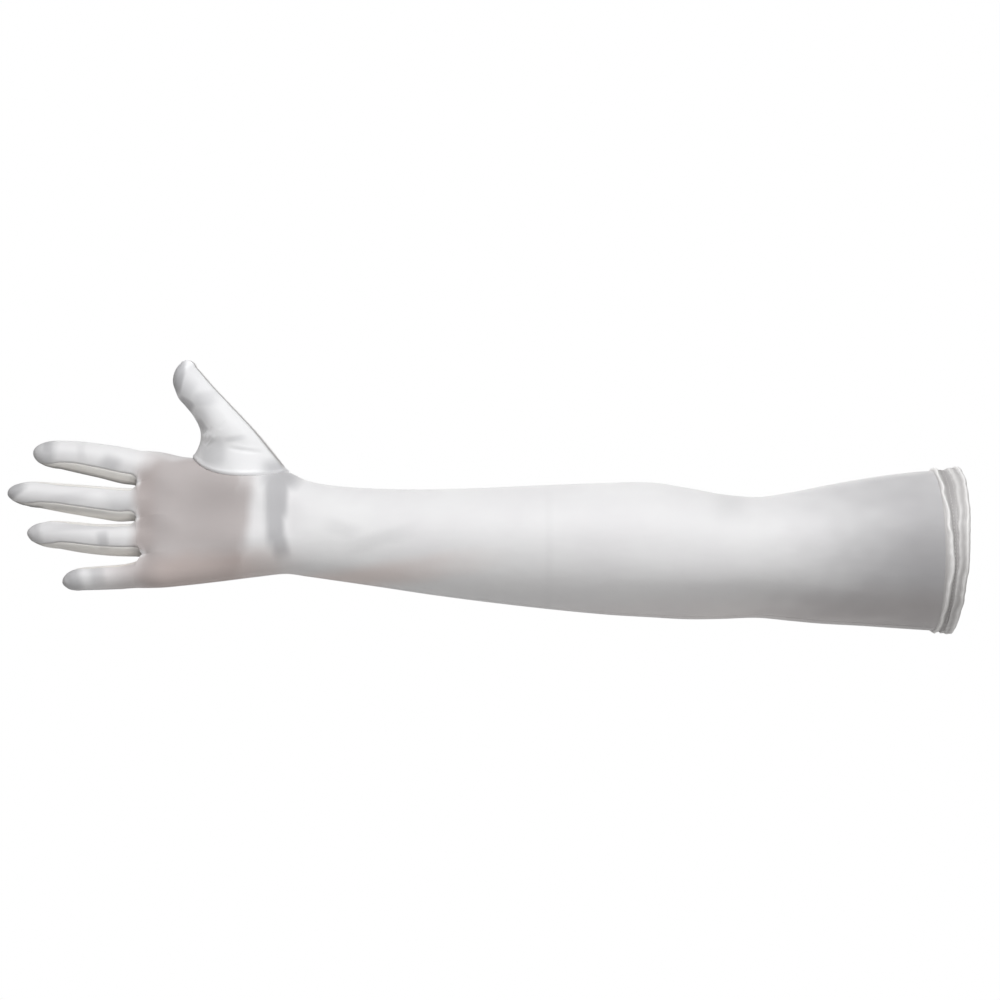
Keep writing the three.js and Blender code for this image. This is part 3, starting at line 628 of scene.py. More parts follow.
# The stretched tone is a mauve-grey tint where the satin is drawn tight across the palm, and it also carries
# painted
# shade: the palm's grey, the sleeve's open end, the strips' undersides and the thumb's outer seam. Where the
# satin is thinned it flushes. The tone that darkens to grey is painted shade, where the surface turns from the
# light or bunches, and at folds, forks and seams. Each spot has its x and z, its half length and half width,
# its lean in degrees, its softness and its amount.
# The stretched tone: a mauve-grey tint across the palm with painted shade in it, and painted shade at the
# sleeve's end.
STRETCHED_TINT_AND_SHADE = (
    (-457.5, 17, 33.5, 41, 0, 0.14, 0.92),
    (-425, -9, 20, 7, -6, 0.6, 0.4),
    (-429, 21, 8.0, 27, -5, 0.55, 0.9),
    (-5, 0, 55, 45, 0, 0.8, 0.14),
)
FLUSHED = (
    (-450, -14, 44, 12, 3, 0.6, 0.75),
    (-370, -19, 60, 6, 9, 0.9, 0.7),
    (-484, 20, 6, 34, 0, 0.8, 0.2),
    (-130, -45, 220, 14, 3, 0.9, 0.3),
)
# Painted shade: where the surface turns from the light at the wrist fold, the thumb, the fingertips, joints and
# gaps, the forearm, the faint crease and the elbow, and darker towards the sleeve's open end.
PAINTED_SHADE_SPOTS = (
    (-403.5, 45, 10.0, 8, 0, 0.5, 0.9),
    (-405.5, 32, 6.8, 14, 2, 0.35, 0.95),
    (-405.8, 17, 5.4, 14, 6, 0.45, 0.95),
    (-403.0, 5, 4.6, 9, 14, 0.6, 0.9),
    (-463.6, 103, 3.8, 10, -10, 0.3, 0.9),
    (-459.8, 86.8, 5.4, 3.6, -35, 0.4, 0.85),
    (-448.0, 90, 6.5, 4.2, 10, 0.5, 0.3),
    (-458.5, 95.5, 4.5, 6.0, -25, 0.6, 0.28),
    (-450.5, 80, 4.0, 6.0, 15, 0.6, 0.25),
    (-450.5, 75, 2.0, 4, 30, 0.7, 0.7),
    (-443.5, 59, 7.0, 8, 0, 0.4, 0.4),
    (-402.0, 48, 6.0, 5, -40, 0.5, 0.8),
    (-431.0, 66.5, 6.0, 1.5, 10, 0.6, 0.35),
    (-545.5, 58.5, 8.0, 8, -12, 0.35, 0.65),
    (-542.5, 61.8, 3.6, 4.6, 10, 0.6, 0.95),
    (-561.0, 34.5, 8.0, 3.4, 36, 0.45, 0.95),
    (-549.0, 12, 4.5, 9, 10, 0.5, 0.6),
    (-526.5, -17, 6.5, 8, 12, 0.4, 0.8),
    (-510.5, -14, 4.0, 6, 10, 0.7, 0.6),
    (-523.0, 59, 2.0, 4, 10, 0.8, 0.3),
    (-506.0, 52, 5.0, 4.5, -25, 0.7, 0.6),
    (-528.0, 31, 10.0, 3, 8, 0.6, 0.25),
    (-499.0, 28, 8.0, 7, 0, 0.6, 0.4),
    (-508.0, 6, 3.0, 5, 10, 0.5, 0.6),
    (-489.0, -14, 12.0, 8, 0, 0.6, 0.5),
    (-343, 7, 16, 4, 15, 0.7, 0.25),
    (-366, 13, 9, 4, -20, 0.7, 0.2),
    (-244, 3, 2.0, 32, 0, 0.9, 0.08),
    (-136, 28, 8, 9, 0, 0.9, 0.2),
    (-515, 14.5, 26, 2.0, 2, 0.6, 0.4),
    (-520, 23.9, 21, 1.5, -7, 0.6, 0.6),
    (0, -8, 70, 60, 0, 0.8, 1.0),
    (-20, -32, 80, 12, 0, 0.6, 0.85),
)
SPOT_POWER = 4  # 2 would make the spots round
RAGGED, RAGGED_SIZE = 0.12, 11.0  # how uneven the edges of the spots are
LOW_PALM, LOW_PALM_LEFT = (8.0, -12.0), 0.5  # heights between which the stretched tint and its painted shade ease, and what is left of it
FORK_CLEAR, RIM_CLEAR = (1.2, 3.6), (0.6, 2.4)  # how far from a fork and the thumb's seam the satin stays pale, free of painted shade
STRIP_RIM, THUMB_RIM = 0.2, 0.1
FORK_WEB_SHADE, WEB_REACH = 0.85, 4
# painted shade: a dark line along the seam up the thumb's outer side
SIDE_SEAM_SHADE, SIDE_SEAM_SHADE_REACH, SIDE_SEAM_CLEAR = 0.9, 1.5, (1, 6)
# painted shade in the seam grooves of the fingers
SEAM_SHADE, SEAM_SHADE_REACH = 0.45, 0.9
CREASE_SHADE, CREASE_TURN, CREASE_WIDTH = 0.95, 0.22, 0.30  # painted shade: a dark line along the underside of a finger's strip
CREASE_WHOLE_ABOVE, CREASE_AT_TIP, CREASE_FADE = 33.0, (-541.0, -547.0), 10.0  # it fades from the other forks
TONE_FACING = (-0.05, 0.35)
facing = smooth(*TONE_FACING, -normals[:, 1])
ragged = noise_at(points / RAGGED_SIZE) * RAGGED


def soft_spots(spots):
    """The strongest of these spots at each point that looks towards the palm side."""
    found = np.zeros(len(points))
    for x, z, length, width, lean, softness, amount in spots:
        across, along = points[:, 2] - z, points[:, 0] - x
        turn = math.radians(lean)
        away_along = (along * math.cos(turn) + across * math.sin(turn)) / length
        away_across = (across * math.cos(turn) - along * math.sin(turn)) / width
        away = (away_along**SPOT_POWER + away_across**SPOT_POWER) ** (1 / SPOT_POWER) + ragged
        found = np.maximum(found, amount * (1 - smooth(1 - softness, 1 + softness, away)))
    return found * facing


strip_faces = faces[(face_piece >= FIRST_STRIP) & (face_piece < THUMB_PIECE)]
in_strip = np.isin(np.arange(len(points)), strip_faces) & (seam_away > STRIP_RIM)
# painted shade inside the forks between the fingers
web = FORK_WEB_SHADE * bell(fork_away, WEB_REACH) * in_strip
# painted shade along the thumb's outer seam, kept off the thumb hole's seam
side_seam_shade = np.nan_to_num(SIDE_SEAM_SHADE * bell(off_side_seam, SIDE_SEAM_SHADE_REACH))
side_seam_shade *= smooth(*SIDE_SEAM_CLEAR, seam_away)
# painted shade along the underside of a finger's strip, where it meets the back panel
crease_shade = CREASE_SHADE * np.exp(-((np.abs((normals[:, 1] + CREASE_TURN) / CREASE_WIDTH)) ** 3))
crease_shade *= in_strip & (normals[:, 2] < 0)
crease_shade *= np.maximum.reduce(
    (points[:, 2] > CREASE_WHOLE_ABOVE, smooth(*CREASE_AT_TIP, points[:, 0]), np.exp(-fork_away / CREASE_FADE))
)
# painted shade along the fingers' seams
seam_shade = SEAM_SHADE * bell(seam_away, SEAM_SHADE_REACH) * (points[:, 0] < KNUCKLE_X)
rim_clear = np.where(beside_thumb, smooth(*RIM_CLEAR, seam_away), 1)
off_thumb = ~beside_thumb | (seam_away < THUMB_RIM)
stretched_tone_ease = mix(1, LOW_PALM_LEFT, smooth(*LOW_PALM, points[:, 2])) * smooth(*FORK_CLEAR, fork_away)
# The stretched tone and the grey tone both carry painted shade; the flush is a tint.
TONES = {
    "stretched_tint_and_shade": np.maximum.reduce((soft_spots(STRETCHED_TINT_AND_SHADE) * stretched_tone_ease * off_thumb, side_seam_shade, crease_shade)),
    "flushed": soft_spots(FLUSHED) * off_thumb,
    "painted_shade": np.maximum.reduce((soft_spots(PAINTED_SHADE_SPOTS) * rim_clear, web, side_seam_shade, crease_shade, seam_shade)),
}


# The palm panel.
# One piece of stretch satin, from the hem to the four fingertips, cut on the straight grain and sewn to the
# back panel down both sides of the sleeve. It is stretched smooth across the palm.
WEAVE_PITCH, PATCH_PITCH = 3500, 22  # floats of the weave and soft patches of tone, to a metre
# the grey that painted shade multiplies the satin by
PAINTED_SHADE_TONE = (0.60, 0.60, 0.61)
FLUSH_TONE = (0.95, 0.82, 0.77)
SATIN_SHEEN = {"Sheen Weight": 0.12, "Sheen Roughness": 0.35, "Specular IOR Level": 0.45}
PATCHES_FROM, SLUBS_FROM = (0.35, 0.65), (0.3, 0.7)  # values of the noise that make the whole change
GLOSS_SPREAD = (-0.04, 0.05)
CRUMPLE_HEIGHT = 0.00025
COLUMN_WIDTH, THUMB_GIRTH = 5.5, 72.0  # of one column of the skin and of the thumb, as flat cloth
SHARP_EDGE = math.radians(60)


def add_node(tree, kind, inputs=(), **settings):
    """A node of this kind, with its settings and the values of its inputs."""
    node = tree.nodes.new(kind)
    for name, value in settings.items():
        setattr(node, name, value)
    for name, value in dict(inputs).items():
        node.inputs[name].default_value = value
    return node


def wire(tree, *rows):
    """Links, each from a node's output to a node's input."""
    for source, output, target, socket in rows:
        tree.links.new(source.outputs[output], target.inputs[socket])


def new_group(name, kind, inputs, outputs):
    """A node group with these named sockets, and its node for the inputs and for the outputs."""
    group = bpy.data.node_groups.new(name, kind)
    for direction, sockets in (("INPUT", inputs), ("OUTPUT", outputs)):
        for label, socket in sockets:
            group.interface.new_socket(label, in_out=direction, socket_type="NodeSocket" + socket)
    return group, group.nodes.new("NodeGroupInput"), group.nodes.new("NodeGroupOutput")


def new_material(name, inputs):
    """A material, its nodes and its shader, with the values of the shader's inputs."""
    material = bpy.data.materials.new(name)
    material.use_nodes = True
    shader = material.node_tree.nodes["Principled BSDF"]
    for socket, value in inputs.items():
        shader.inputs[socket].default_value = value
    return material, material.node_tree, shader


# The weave that every satin piece has: long floats of warp laid in steps over the weft, 0.28 mm apart.
satin_weave, weave_in, weave_out = new_group(
    "satin_weave",
    "ShaderNodeTree",
    (("Cloth", "Vector"), ("Floats per metre", "Float")),
    (("Height", "Float"), ("Slub", "Float")),
)
floats = add_node(
    satin_weave,
    "ShaderNodeTexBrick",
    {
        "Color1": (1, 1, 1, 1),
        "Color2": (0.8, 0.8, 0.8, 1),
        "Mortar": (0, 0, 0, 1),
        "Mortar Size": 0.16,
        "Mortar Smooth": 1,
        "Brick Width": 4,
        "Row Height": 1,
    },
    offset=0.4,
    offset_frequency=2,
)
along_warp = add_node(satin_weave, "ShaderNodeMapping", {"Scale": (60, 1100, 1)})
slubs = add_node(satin_weave, "ShaderNodeTexNoise", {"Scale": 1, "Detail": 2})
wire(
    satin_weave,
    (weave_in, "Cloth", floats, "Vector"),
    (weave_in, "Floats per metre", floats, "Scale"),
    (floats, "Color", weave_out, "Height"),
    (weave_in, "Cloth", along_warp, "Vector"),
    (along_warp, "Vector", slubs, "Vector"),
    (slubs, "Fac", weave_out, "Slub"),
)

# The soft unevenness of worn satin: broad, faint changes of tone, and shallow crumples along the sleeve.
soft_tone, tone_in, tone_out = new_group(
    "soft_tone",
    "ShaderNodeTree",
    (("Place", "Vector"), ("Patches per metre", "Float")),
    (("Tone", "Float"), ("Crumple", "Float")),
)
patches = add_node(soft_tone, "ShaderNodeTexNoise", {"Detail": 3})
lengthwise = add_node(soft_tone, "ShaderNodeMapping", {"Scale": (35, 90, 90)})
crumples = add_node(soft_tone, "ShaderNodeTexNoise", {"Scale": 1, "Detail": 2})
wire(
    soft_tone,
    (tone_in, "Place", patches, "Vector"),
    (tone_in, "Patches per metre", patches, "Scale"),
    (patches, "Fac", tone_out, "Tone"),
    (tone_in, "Place", lengthwise, "Vector"),
    (lengthwise, "Vector", crumples, "Vector"),
    (crumples, "Fac", tone_out, "Crumple"),
)


def ramp(tree, low, high, start, end):
    """A Map Range from low..high to start..end."""
    return add_node(
        tree, "ShaderNodeMapRange", {"From Min": low, "From Max": high, "To Min": start, "To Max": end}
    )


def blend_colours(tree, start, end, kind="MIX"):
    colours = {"A": (*start, 1), "B": (*end, 1)}
    return add_node(tree, "ShaderNodeMix", colours, data_type="RGBA", blend_type=kind)


def make_satin(name, pale, shaded, stretched_tint_and_shade, gloss, weave_height):
    """A satin: its pale and shaded tone, its stretched tint with painted shade, roughness, and height of its
    weave.
    """
    material, tree, shader = new_material(name, SATIN_SHEEN)
    place = add_node(tree, "ShaderNodeTexCoord")
    cloth = add_node(tree, "ShaderNodeUVMap", uv_map="cloth")
    weave = add_node(tree, "ShaderNodeGroup", node_tree=satin_weave)
    weave.inputs["Floats per metre"].default_value = WEAVE_PITCH
    tone = add_node(tree, "ShaderNodeGroup", node_tree=soft_tone)
    tone.inputs["Patches per metre"].default_value = PATCH_PITCH
    patchy, colour = ramp(tree, *PATCHES_FROM, 0, 1), blend_colours(tree, pale, shaded)
    wire(
        tree,
        (cloth, "UV", weave, "Cloth"),
        (place, "Object", tone, "Place"),
        (tone, "Tone", patchy, "Value"),
        (patchy, "Result", colour, "Factor"),
    )
    # layers of the painted tones: the stretched tint with painted shade in it, the flush, and the painted shade
    for attribute, kind, change in (
        ("stretched_tint_and_shade", "MIX", stretched_tint_and_shade),
        ("flushed", "MULTIPLY", FLUSH_TONE),
        ("painted_shade", "MULTIPLY", PAINTED_SHADE_TONE),
    ):
        amount = add_node(tree, "ShaderNodeAttribute", attribute_name=attribute)
        layer = blend_colours(tree, pale, change, kind)
        wire(tree, (colour, "Result", layer, "A"), (amount, "Fac", layer, "Factor"))
        colour = layer
    rough = ramp(tree, *SLUBS_FROM, gloss + GLOSS_SPREAD[0], gloss + GLOSS_SPREAD[1])
    crumple = add_node(tree, "ShaderNodeBump", {"Strength": 1, "Distance": CRUMPLE_HEIGHT})
    yarns = add_node(tree, "ShaderNodeBump", {"Strength": 1, "Distance": weave_height})
    wire(
        tree,
        (colour, "Result", shader, "Base Color"),
        (weave, "Slub", rough, "Value"),
        (rough, "Result", shader, "Roughness"),
        (tone, "Crumple", crumple, "Height"),
        (weave, "Height", yarns, "Height"),
        (crumple, "Normal", yarns, "Normal"),
        (yarns, "Normal", shader, "Normal"),
    )
    return material


def make_cloth(name, places, polygons, tones, uvs, *materials):
    """A piece of cloth from places in mm, with its tones and its map of the cloth in metres."""
    mesh = bpy.data.meshes.new(name)
    mesh.from_pydata((places * MM).tolist(), [], polygons)
    mesh.polygons.foreach_set("use_smooth", np.ones(len(polygons), bool))
    for tone, values in tones.items():
        mesh.attributes.new(tone, "FLOAT", "POINT").data.foreach_set("value", values)
    mesh.uv_layers.new(name="cloth").data.foreach_set("uv", uvs)
    for material in materials:
        mesh.materials.append(material)
    return add_object(name, mesh)


column_of = np.concatenate(skin_columns)


def cloth_places(number, numbers):
    """How far along and across the grain each point lies in its piece, and the girth after which it repeats."""
    at = points[numbers]
    if number in (PALM, BACK):
        return -at[:, 0], column_of[numbers] * COLUMN_WIDTH, COLUMNS * COLUMN_WIDTH
    if number == THUMB_PIECE:
        base = thumb_section(THUMB[0], np.array((0, np.pi))).mean(axis=0)
        length = (THUMB_TIP - base) / np.linalg.norm(THUMB_TIP - base)
        side = np.cross(length, (0, 1, 0))
        off = at - base
        turn = np.arctan2(off @ np.cross(length, side), off @ side)
        return off @ length, turn * THUMB_GIRTH / (2 * np.pi), THUMB_GIRTH
    fork = forks[number - FIRST_STRIP]
    off = at[:, 2] - points[fork[len(fork) // 2], 2]
    return np.sign(off) * (KNUCKLE_X - at[:, 0] + np.abs(off)), at[:, 1], math.inf


def cut_piece(number, satin):
    """One piece cut from the skin: its outer faces, the inner ones a cloth's thickness deeper, and its rim.

    Each piece stays half the seam's gap inside its outline. Its grain runs along the sleeve.
    """
    corners = faces[face_piece == number]
    start, end, _ = edges_of(corners)
    known = set((start * len(points) + end).tolist())
    rim = [(a, b) for a, b in zip(start.tolist(), end.tolist()) if b * len(points) + a not in known]
    after, before = dict(rim), {b: a for a, b in rim}
    numbers = np.unique(corners)
    count = len(numbers)
    place = np.zeros(len(points), int)
    place[numbers] = np.arange(count)
    top, under = outer[numbers], inner[numbers]
    for corner in after:
        back = np.cross(points[after[corner]] - points[before[corner]], normals[corner])
        back *= -SEAM_GAP / 2 / max(np.linalg.norm(back), TINY)
        top[place[corner]] += back
        under[place[corner]] += back
    outside = [tuple(dict.fromkeys(face)) for face in place[corners].tolist()]
    inside = [tuple(corner + count for corner in reversed(face)) for face in outside]
    edge = [(b, a, a + count, b + count) for a, b in place[np.array(rim)].tolist()]
    polygons = outside + inside + edge
    along, across, girth = cloth_places(number, numbers)
    uvs = []
    for face in polygons:
        row = [(along[corner % count], across[corner % count], corner >= count) for corner in face]
        columns = [column for _, column, _ in row if not math.isnan(column)]
        highest, middle = max(columns), sum(columns) / len(columns)
        for lengthways, column, deep in row:
            if math.isnan(column):
                column = middle
            elif highest - column > girth / 2:
                column += girth
            uvs += (lengthways * MM, (column + CLOTH * deep) * MM)
    tones = {name: np.concatenate((values[numbers], np.zeros(count))) for name, values in TONES.items()}
    places = np.concatenate((top, under))
    piece = make_cloth(PIECES[number] + "_cloth", places, polygons, tones, uvs, satin, wrong_side)
    piece.data.set_sharp_from_angle(angle=SHARP_EDGE)
    sides = np.repeat((0, 1, 0), (len(outside), len(inside), len(edge)))
    piece.data.polygons.foreach_set("material_index", sides)
    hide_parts(PIECES[number])
    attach(piece, "root")


panel_satin = make_satin(
    "panel_satin", (0.86, 0.86, 0.87), (0.82, 0.815, 0.83), (0.49, 0.445, 0.44), 0.45, 0.00002
)
wrong_side = make_satin(
    "satin_wrong_side", (0.74, 0.73, 0.73), (0.70, 0.69, 0.69), (0.66, 0.64, 0.64), 0.72, 0.00004
)
cut_piece(PALM, panel_satin)


cut_piece(BACK, panel_satin)


# The strips' satin is the panels' satin painted paler, as painted light, and darker where stretched for the
# painted shade.
strip_satin = make_satin(
    "strip_satin", (0.96, 0.945, 0.92), (0.90, 0.88, 0.85), (0.42, 0.40, 0.39), 0.42, 0.00002
)
for number in range(FIRST_STRIP, THUMB_PIECE):
    cut_piece(number, strip_satin)


# The thumb's satin is the panels' satin painted paler, as painted light.
thumb_satin = make_satin(
    "thumb_satin", (0.98, 0.985, 1), (0.94, 0.945, 0.97), (0.60, 0.57, 0.56), 0.40, 0.00002
)
cut_piece(THUMB_PIECE, thumb_satin)


# The hem.
# The end of the sleeve is turned in over an elastic and stitched down twice. The stitching leaves a ridge, a
# groove and a rolled edge, which the elastic gathers finely.
HEM_PIECE = "hem_band"
HEM_AROUND = 720
HEM_SMOOTH = 5  # rows of the mesh to a row of the outline
RING_STEP = 0.02  # of a column, over which the way round the sleeve is measured
GATHER_LENGTH, GATHER_DEPTH = 5.2, 9  # of one gather, round the hem and into it
BROAD_GATHER, BROAD_GATHER_DEPTH = 2.7, 30  # how many times as long the broad gathers are, and their depth
GATHER_SWAY, SWAY_STEPS = 2, 7  # how far the gathers sway along the sleeve, and how far round from their tops
BUNCH, BUNCH_COLUMNS = 1.2, 1.2  # how much more the little finger side bunches
BOW_MIDDLE, BOW_REACH, BOW_LEAST = -0.1, 0.65, -0.5  # where the palm side bows out, by which way it faces
# rows of the outline: inset from the edge, rise off the sleeve, slant towards the palm side, height of the
# gathers, how far the palm side bows out to the edge, and painted shade, darkest in the groove and under the
# turn
HEM_OUTLINE = (
    (14.0, 0.1, 0.0, 0.00, 0.0, 0.8),
    (13.6, 0.3, 0.0, 0.10, 1.2, 0.6),
    (12.9, 1.3, 0.0, 0.32, 1.8, 0.1),
    (12.0, 1.7, 0.0, 0.34, 2.0, 0.0),
    (11.1, 1.0, 0.0, 0.26, 2.0, 0.4),
    (10.0, 0.2, 0.2, 0.10, 1.4, 0.95),
    (8.8, 0.0, 0.5, 0.06, 0.5, 1.0),
    (7.2, 0.1, 1.5, 0.15, 0.0, 0.9),
    (6.3, 1.1, 2.2, 0.40, 0.0, 0.35),
    (5.2, 1.4, 2.6, 0.44, 0.0, 0.55),
    (3.4, 1.3, 2.8, 0.38, 0.0, 0.7),
    (1.8, 2.0, 2.8, 0.30, 0.0, 0.0),
    (0.6, 1.4, 2.8, 0.22, 0.0, 0.0),
    (0.0, -0.3, 2.8, 0.15, 0.0, 0.2),
    (0.8, -1.5, 2.8, 0.00, 0.0, 0.5),
    (7.0, -1.5, 1.5, 0.00, 0.0, 0.5),
    (14.0, -1.3, 0.0, 0.00, 0.0, 0.5),
)
HEM_TONES = (("stretched_tint_and_shade", 0.6), ("flushed", 0), ("painted_shade", 1))  # as shares of the painted shade

hem_columns = np.linspace(0, COLUMNS, HEM_AROUND, endpoint=False)


def off_the_sleeve(inset):
    """The direction straight out of the sleeve, with no part along it, at this inset from its edge."""
    x = np.full(HEM_AROUND, -inset)
    out = np.cross(body_point(x, hem_columns + RING_STEP) - body_point(x, hem_columns - RING_STEP), (1, 0, 0))
    out[:, 0] = 0
    out /= np.linalg.norm(out, axis=1, keepdims=True)
    ring = body_point(x, hem_columns)
    return out * np.sign(((ring - ring.mean(axis=0)) * out).sum(axis=1))[:, None]


def hem_ring(inset, rise, slant, gather, bow):
    """One ring of the hem, from a row of its outline."""
    out = off_the_sleeve(inset)
    ring = body_point(np.full(HEM_AROUND, -inset), hem_columns)
    turns = 2 * np.pi * hem_columns / COLUMNS
    round_the_sleeve = np.stack((np.cos(turns), np.sin(turns)), axis=1) * ARM[0][2] / GATHER_LENGTH
    folds = noise_at(np.insert(round_the_sleeve, 2, inset / GATHER_DEPTH, axis=1))
    folds += noise_at(np.insert(round_the_sleeve / BROAD_GATHER, 2, inset / BROAD_GATHER_DEPTH, axis=1))
    bunch = 1 + BUNCH * bell(hem_columns - HALF_COLUMNS, BUNCH_COLUMNS)
    ring += out * (rise + gather * folds * bunch)[:, None]
    bowed = np.clip(1 - ((out[:, 2] - BOW_MIDDLE) / BOW_REACH) ** 2, BOW_LEAST, 1) * np.clip(-out[:, 1], 0, 1)
    ring[:, 0] += slant * out[:, 2] + bow * bowed + gather * GATHER_SWAY * np.roll(folds, SWAY_STEPS)
    return ring


outline_numbers = np.arange(-1, len(HEM_OUTLINE) + 2)
hem_rows = read(
    outline_numbers,
    np.take(HEM_OUTLINE, outline_numbers, axis=0, mode="wrap"),
    np.arange(len(HEM_OUTLINE) * HEM_SMOOTH) / HEM_SMOOTH,
)
hem_rows[:, 3:] = hem_rows[:, 3:].clip(0)
row_number, step_number = np.divmod(np.arange(len(hem_rows) * HEM_AROUND)[:, None], HEM_AROUND)
corner_rows, corner_steps = row_number + (0, 0, 1, 1), step_number + (0, 1, 1, 0)
row_length = np.linalg.norm(np.diff(hem_rows[:, :2], axis=0, append=hem_rows[:1, :2]), axis=1)
hem_along = np.concatenate(((0,), np.cumsum(row_length)))
hem_uvs = np.stack((hem_along[corner_rows], corner_steps * COLUMNS * COLUMN_WIDTH / HEM_AROUND), axis=2)
# The hem's satin is the panels' satin painted paler, as painted light.
hem_satin = make_satin(
    "hem_satin", (0.97, 0.965, 0.96), (0.90, 0.89, 0.88), (0.60, 0.57, 0.56), 0.36, 0.00002
)
hem = make_cloth(
    "hem_cloth",
    np.concatenate([hem_ring(*row[:-1]) for row in hem_rows]),
    (corner_rows % len(hem_rows) * HEM_AROUND + corner_steps % HEM_AROUND).tolist(),
    {name: np.repeat(hem_rows[:, -1] * share, HEM_AROUND) for name, share in HEM_TONES},
    (hem_uvs * MM).ravel(),
    hem_satin,
)
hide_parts(HEM_PIECE)
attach(hem, "root")


# The stitches.
# White polyester thread. Two rows of straight stitches hold the hem down, and at the seams short stitches cross
# the groove between two pieces. Each stitch is a short, slightly swollen length of thread.
HEM_STITCH = (2.4, 2.0, 0.34)  # spacing, length and thickness
HEM_STITCH_ROWS = ((8.9, 0.12, 0.45, 0.07, 0.45), (7.1, 0.05, 1.4, 0.07, 0))  # as rows of the outline
SEAM_STITCH = (1.7, 0.75, 0.2)
SEAM_STITCH_DEPTH = 0.72  # as a share of the groove's depth

thread, tree, shader = new_material("white_thread", {"Roughness": 0.5, "Sheen Weight": 0.2})
place = add_node(tree, "ShaderNodeTexCoord")
fibres = add_node(tree, "ShaderNodeTexNoise", {"Scale": 9000})
fibre_tone = blend_colours(tree, (0.60, 0.59, 0.57), (0.72, 0.72, 0.71))
fibre_bump = add_node(tree, "ShaderNodeBump", {"Distance": 0.00002})
wire(
    tree,
    (place, "Object", fibres, "Vector"),
    (fibres, "Fac", fibre_tone, "Factor"),
    (fibre_tone, "Result", shader, "Base Color"),
    (fibres, "Fac", fibre_bump, "Height"),
    (fibre_bump, "Normal", shader, "Normal"),
)

# A row of stitches: one stitch set along a path at even spaces, standing on the cloth and turned on it.
stitch_row, row_in, row_out = new_group(
    "stitch_row",
    "GeometryNodeTree",
    (
        ("Path", "Geometry"),
        ("Spacing", "Float"),
        ("Length", "Float"),
        ("Thread", "Float"),
        ("Turn", "Float"),
        ("Finish", "Material"),
    ),
    (("Stitches", "Geometry"),),
)
as_curve = add_node(stitch_row, "GeometryNodeMeshToCurve")
spaced = add_node(stitch_row, "GeometryNodeResampleCurve", mode="LENGTH")
one_stitch = add_node(stitch_row, "GeometryNodeMeshUVSphere", {"Segments": 6, "Rings": 6, "Radius": 0.5})
size = add_node(stitch_row, "ShaderNodeCombineXYZ")
shaped = add_node(stitch_row, "GeometryNodeTransform")
tangent = add_node(stitch_row, "GeometryNodeInputTangent")
upward = add_node(stitch_row, "GeometryNodeInputNamedAttribute", {"Name": "upward"}, data_type="FLOAT_VECTOR")
lie_along = add_node(stitch_row, "FunctionNodeAlignRotationToVector", axis="X")
stand_up = add_node(stitch_row, "FunctionNodeAlignRotationToVector", axis="Z", pivot_axis="X")
turn = add_node(stitch_row, "FunctionNodeAxisAngleToRotation", {"Axis": (0, 0, 1)})
turned = add_node(stitch_row, "FunctionNodeRotateRotation", rotation_space="LOCAL")
placed = add_node(stitch_row, "GeometryNodeInstanceOnPoints")
smoothed = add_node(stitch_row, "GeometryNodeSetShadeSmooth")
realized = add_node(stitch_row, "GeometryNodeRealizeInstances")
finished = add_node(stitch_row, "GeometryNodeSetMaterial")
wire(
    stitch_row,
    (row_in, "Path", as_curve, "Mesh"),
    (as_curve, "Curve", spaced, "Curve"),
    (row_in, "Spacing", spaced, "Length"),
    (row_in, "Length", size, "X"),
    (row_in, "Thread", size, "Y"),
    (row_in, "Thread", size, "Z"),
    (one_stitch, "Mesh", shaped, "Geometry"),
    (size, "Vector", shaped, "Scale"),
    (spaced, "Curve", placed, "Points"),
    (shaped, "Geometry", placed, "Instance"),
    (tangent, "Tangent", lie_along, "Vector"),
    (lie_along, "Rotation", stand_up, "Rotation"),
    (upward, "Attribute", stand_up, "Vector"),
    (row_in, "Turn", turn, "Angle"),
    (stand_up, "Rotation", turned, "Rotation"),
    (turn, "Rotation", turned, "Rotate By"),
    (turned, "Rotation", placed, "Rotation"),
    (placed, "Instances", smoothed, "Geometry"),
    (smoothed, "Geometry", realized, "Geometry"),
    (realized, "Geometry", finished, "Geometry"),
    (row_in, "Finish", finished, "Material"),
    (finished, "Geometry", row_out, "Stitches"),
)


def sew(name, path, path_edges, upwards, turn_by, stitch):
    """Rows of stitches along a path in mm. turn_by is the angle of a stitch to the path."""
    mesh = bpy.data.meshes.new(name + "_path")
    mesh.from_pydata((path * MM).tolist(), path_edges, [])
    mesh.attributes.new("upward", "FLOAT_VECTOR", "POINT").data.foreach_set("vector", upwards.ravel())
    row = add_object(name + "_path", mesh)
    modifier = row.modifiers.new("stitches", "NODES")
    modifier.node_group = stitch_row
    spacing, length, thickness = (size * MM for size in stitch)
    values = {"Spacing": spacing, "Length": length, "Thread": thickness, "Turn": turn_by, "Finish": thread}
    for socket in stitch_row.interface.items_tree:
        if socket.name in values:
            modifier[socket.identifier] = values[socket.name]
    bpy.context.view_layer.update()
    made = bpy.data.meshes.new_from_object(row.evaluated_get(bpy.context.evaluated_depsgraph_get()))
    made.materials.clear()
    made.materials.append(thread)
    made.polygons.foreach_set("material_index", np.zeros(len(made.polygons), int))
    bpy.data.objects.remove(row)
    stitches = add_object(name, made)
    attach(stitches, "root")


sew(
    "hem_stitches",
    np.concatenate([hem_ring(*row) for row in HEM_STITCH_ROWS]),
    [
        (row * HEM_AROUND + step, row * HEM_AROUND + (step + 1) % HEM_AROUND)
        for row in range(len(HEM_STITCH_ROWS))
        for step in range(HEM_AROUND)
    ],
    np.concatenate([off_the_sleeve(row[0]) for row in HEM_STITCH_ROWS]),
    0,
    HEM_STITCH,
)
seam_up = normals[seam_line]
sew(
    "seam_stitches",
    points[seam_line] - seam_up * (seam_depth[seam_line] * SEAM_STITCH_DEPTH)[:, None],
    np.searchsorted(seam_line, seam_edges).tolist(),
    seam_up,
    math.pi / 2,
    SEAM_STITCH,
)


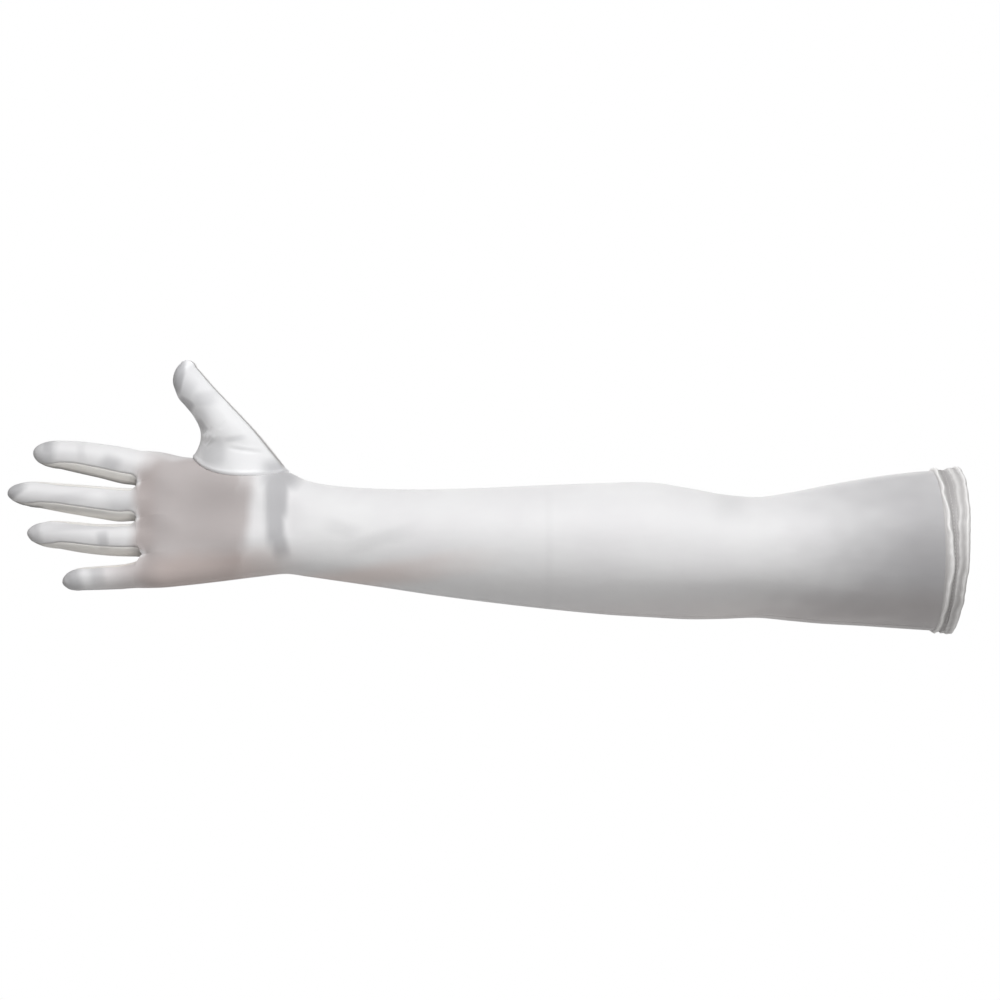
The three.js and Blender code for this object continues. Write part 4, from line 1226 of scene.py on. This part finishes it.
# The studio.
# A pale floor, a white backdrop, a large soft light above and before the glove, and weak ones round it.
ROOM_LIGHT, ROOM_TINT = 0.21, (1, 0.97, 0.93, 1)
FLOOR_MIDDLE, FLOOR_Z, FLOOR_REACH = -0.28, -0.6, 1.3
FLOOR_GLOW = 0.7  # share of the floor's look that is an even white
LIT_PLACE = (-0.3, 0, 0)
LIGHTS = (
    # name, place, size, power in watts and colour
    ("key_light", (-0.2, -0.7, 0.9), 0.6, 9.5, (0.99, 0.995, 1)),
    ("front_light", (-0.5, -0.9, 0.5), 0.5, 1.4, (1, 1, 1)),
    ("top_light", (-0.3, 0.7, 0.9), 1.0, 0.8, (1, 1, 1)),
    ("back_light", (-0.3, 1.2, 0.4), 1.0, 3.5, (1, 1, 1)),
)

world = bpy.data.worlds.new("studio")
world.use_nodes = True
tree = world.node_tree
room = tree.nodes["Background"]
room.inputs["Color"].default_value = ROOM_TINT
room.inputs["Strength"].default_value = ROOM_LIGHT
backdrop = add_node(tree, "ShaderNodeBackground", {"Color": (1, 1, 1, 1)})
seen, either = add_node(tree, "ShaderNodeLightPath"), add_node(tree, "ShaderNodeMixShader")
wire(
    tree,
    (seen, "Is Camera Ray", either, "Fac"),
    (room, "Background", either, 1),
    (backdrop, "Background", either, 2),
    (either, "Shader", tree.nodes["World Output"], "Surface"),
)
bpy.context.scene.world = world

floor_paint, tree, shader = new_material("floor_paint", {"Roughness": 0.9})
place, cloudy = add_node(tree, "ShaderNodeTexCoord"), add_node(tree, "ShaderNodeTexNoise", {"Scale": 1.5})
paint = blend_colours(tree, (0.88, 0.88, 0.88), (0.92, 0.92, 0.92))
glow, seen = add_node(tree, "ShaderNodeEmission"), add_node(tree, "ShaderNodeLightPath")
share = add_node(tree, "ShaderNodeMath", {1: FLOOR_GLOW}, operation="MULTIPLY")
even = add_node(tree, "ShaderNodeMixShader")
wire(
    tree,
    (place, "Object", cloudy, "Vector"),
    (cloudy, "Fac", paint, "Factor"),
    (paint, "Result", shader, "Base Color"),
    (seen, "Is Camera Ray", share, 0),
    (share, "Value", even, "Fac"),
    (shader, "BSDF", even, 1),
    (glow, "Emission", even, 2),
    (even, "Shader", tree.nodes["Material Output"], "Surface"),
)
corners = ((-1, -1), (1, -1), (1, 1), (-1, 1))
floor_mesh = bpy.data.meshes.new("floor")
floor_mesh.from_pydata(
    [(x * FLOOR_REACH + FLOOR_MIDDLE, y * FLOOR_REACH, FLOOR_Z) for x, y in corners], [], [(0, 1, 2, 3)]
)
floor_mesh.materials.append(floor_paint)
floor = add_object("floor", floor_mesh)

for name, at, size, power, colour in LIGHTS:
    light = bpy.data.lights.new(name, "AREA")
    light.size, light.energy, light.color = size, power, colour
    lamp = add_object(name, light)
    lamp.location = at
    lamp.rotation_euler = (Vector(LIT_PLACE) - Vector(at)).to_track_quat("-Z", "Y").to_euler()
bpy.context.scene.view_settings.view_transform = "Standard"
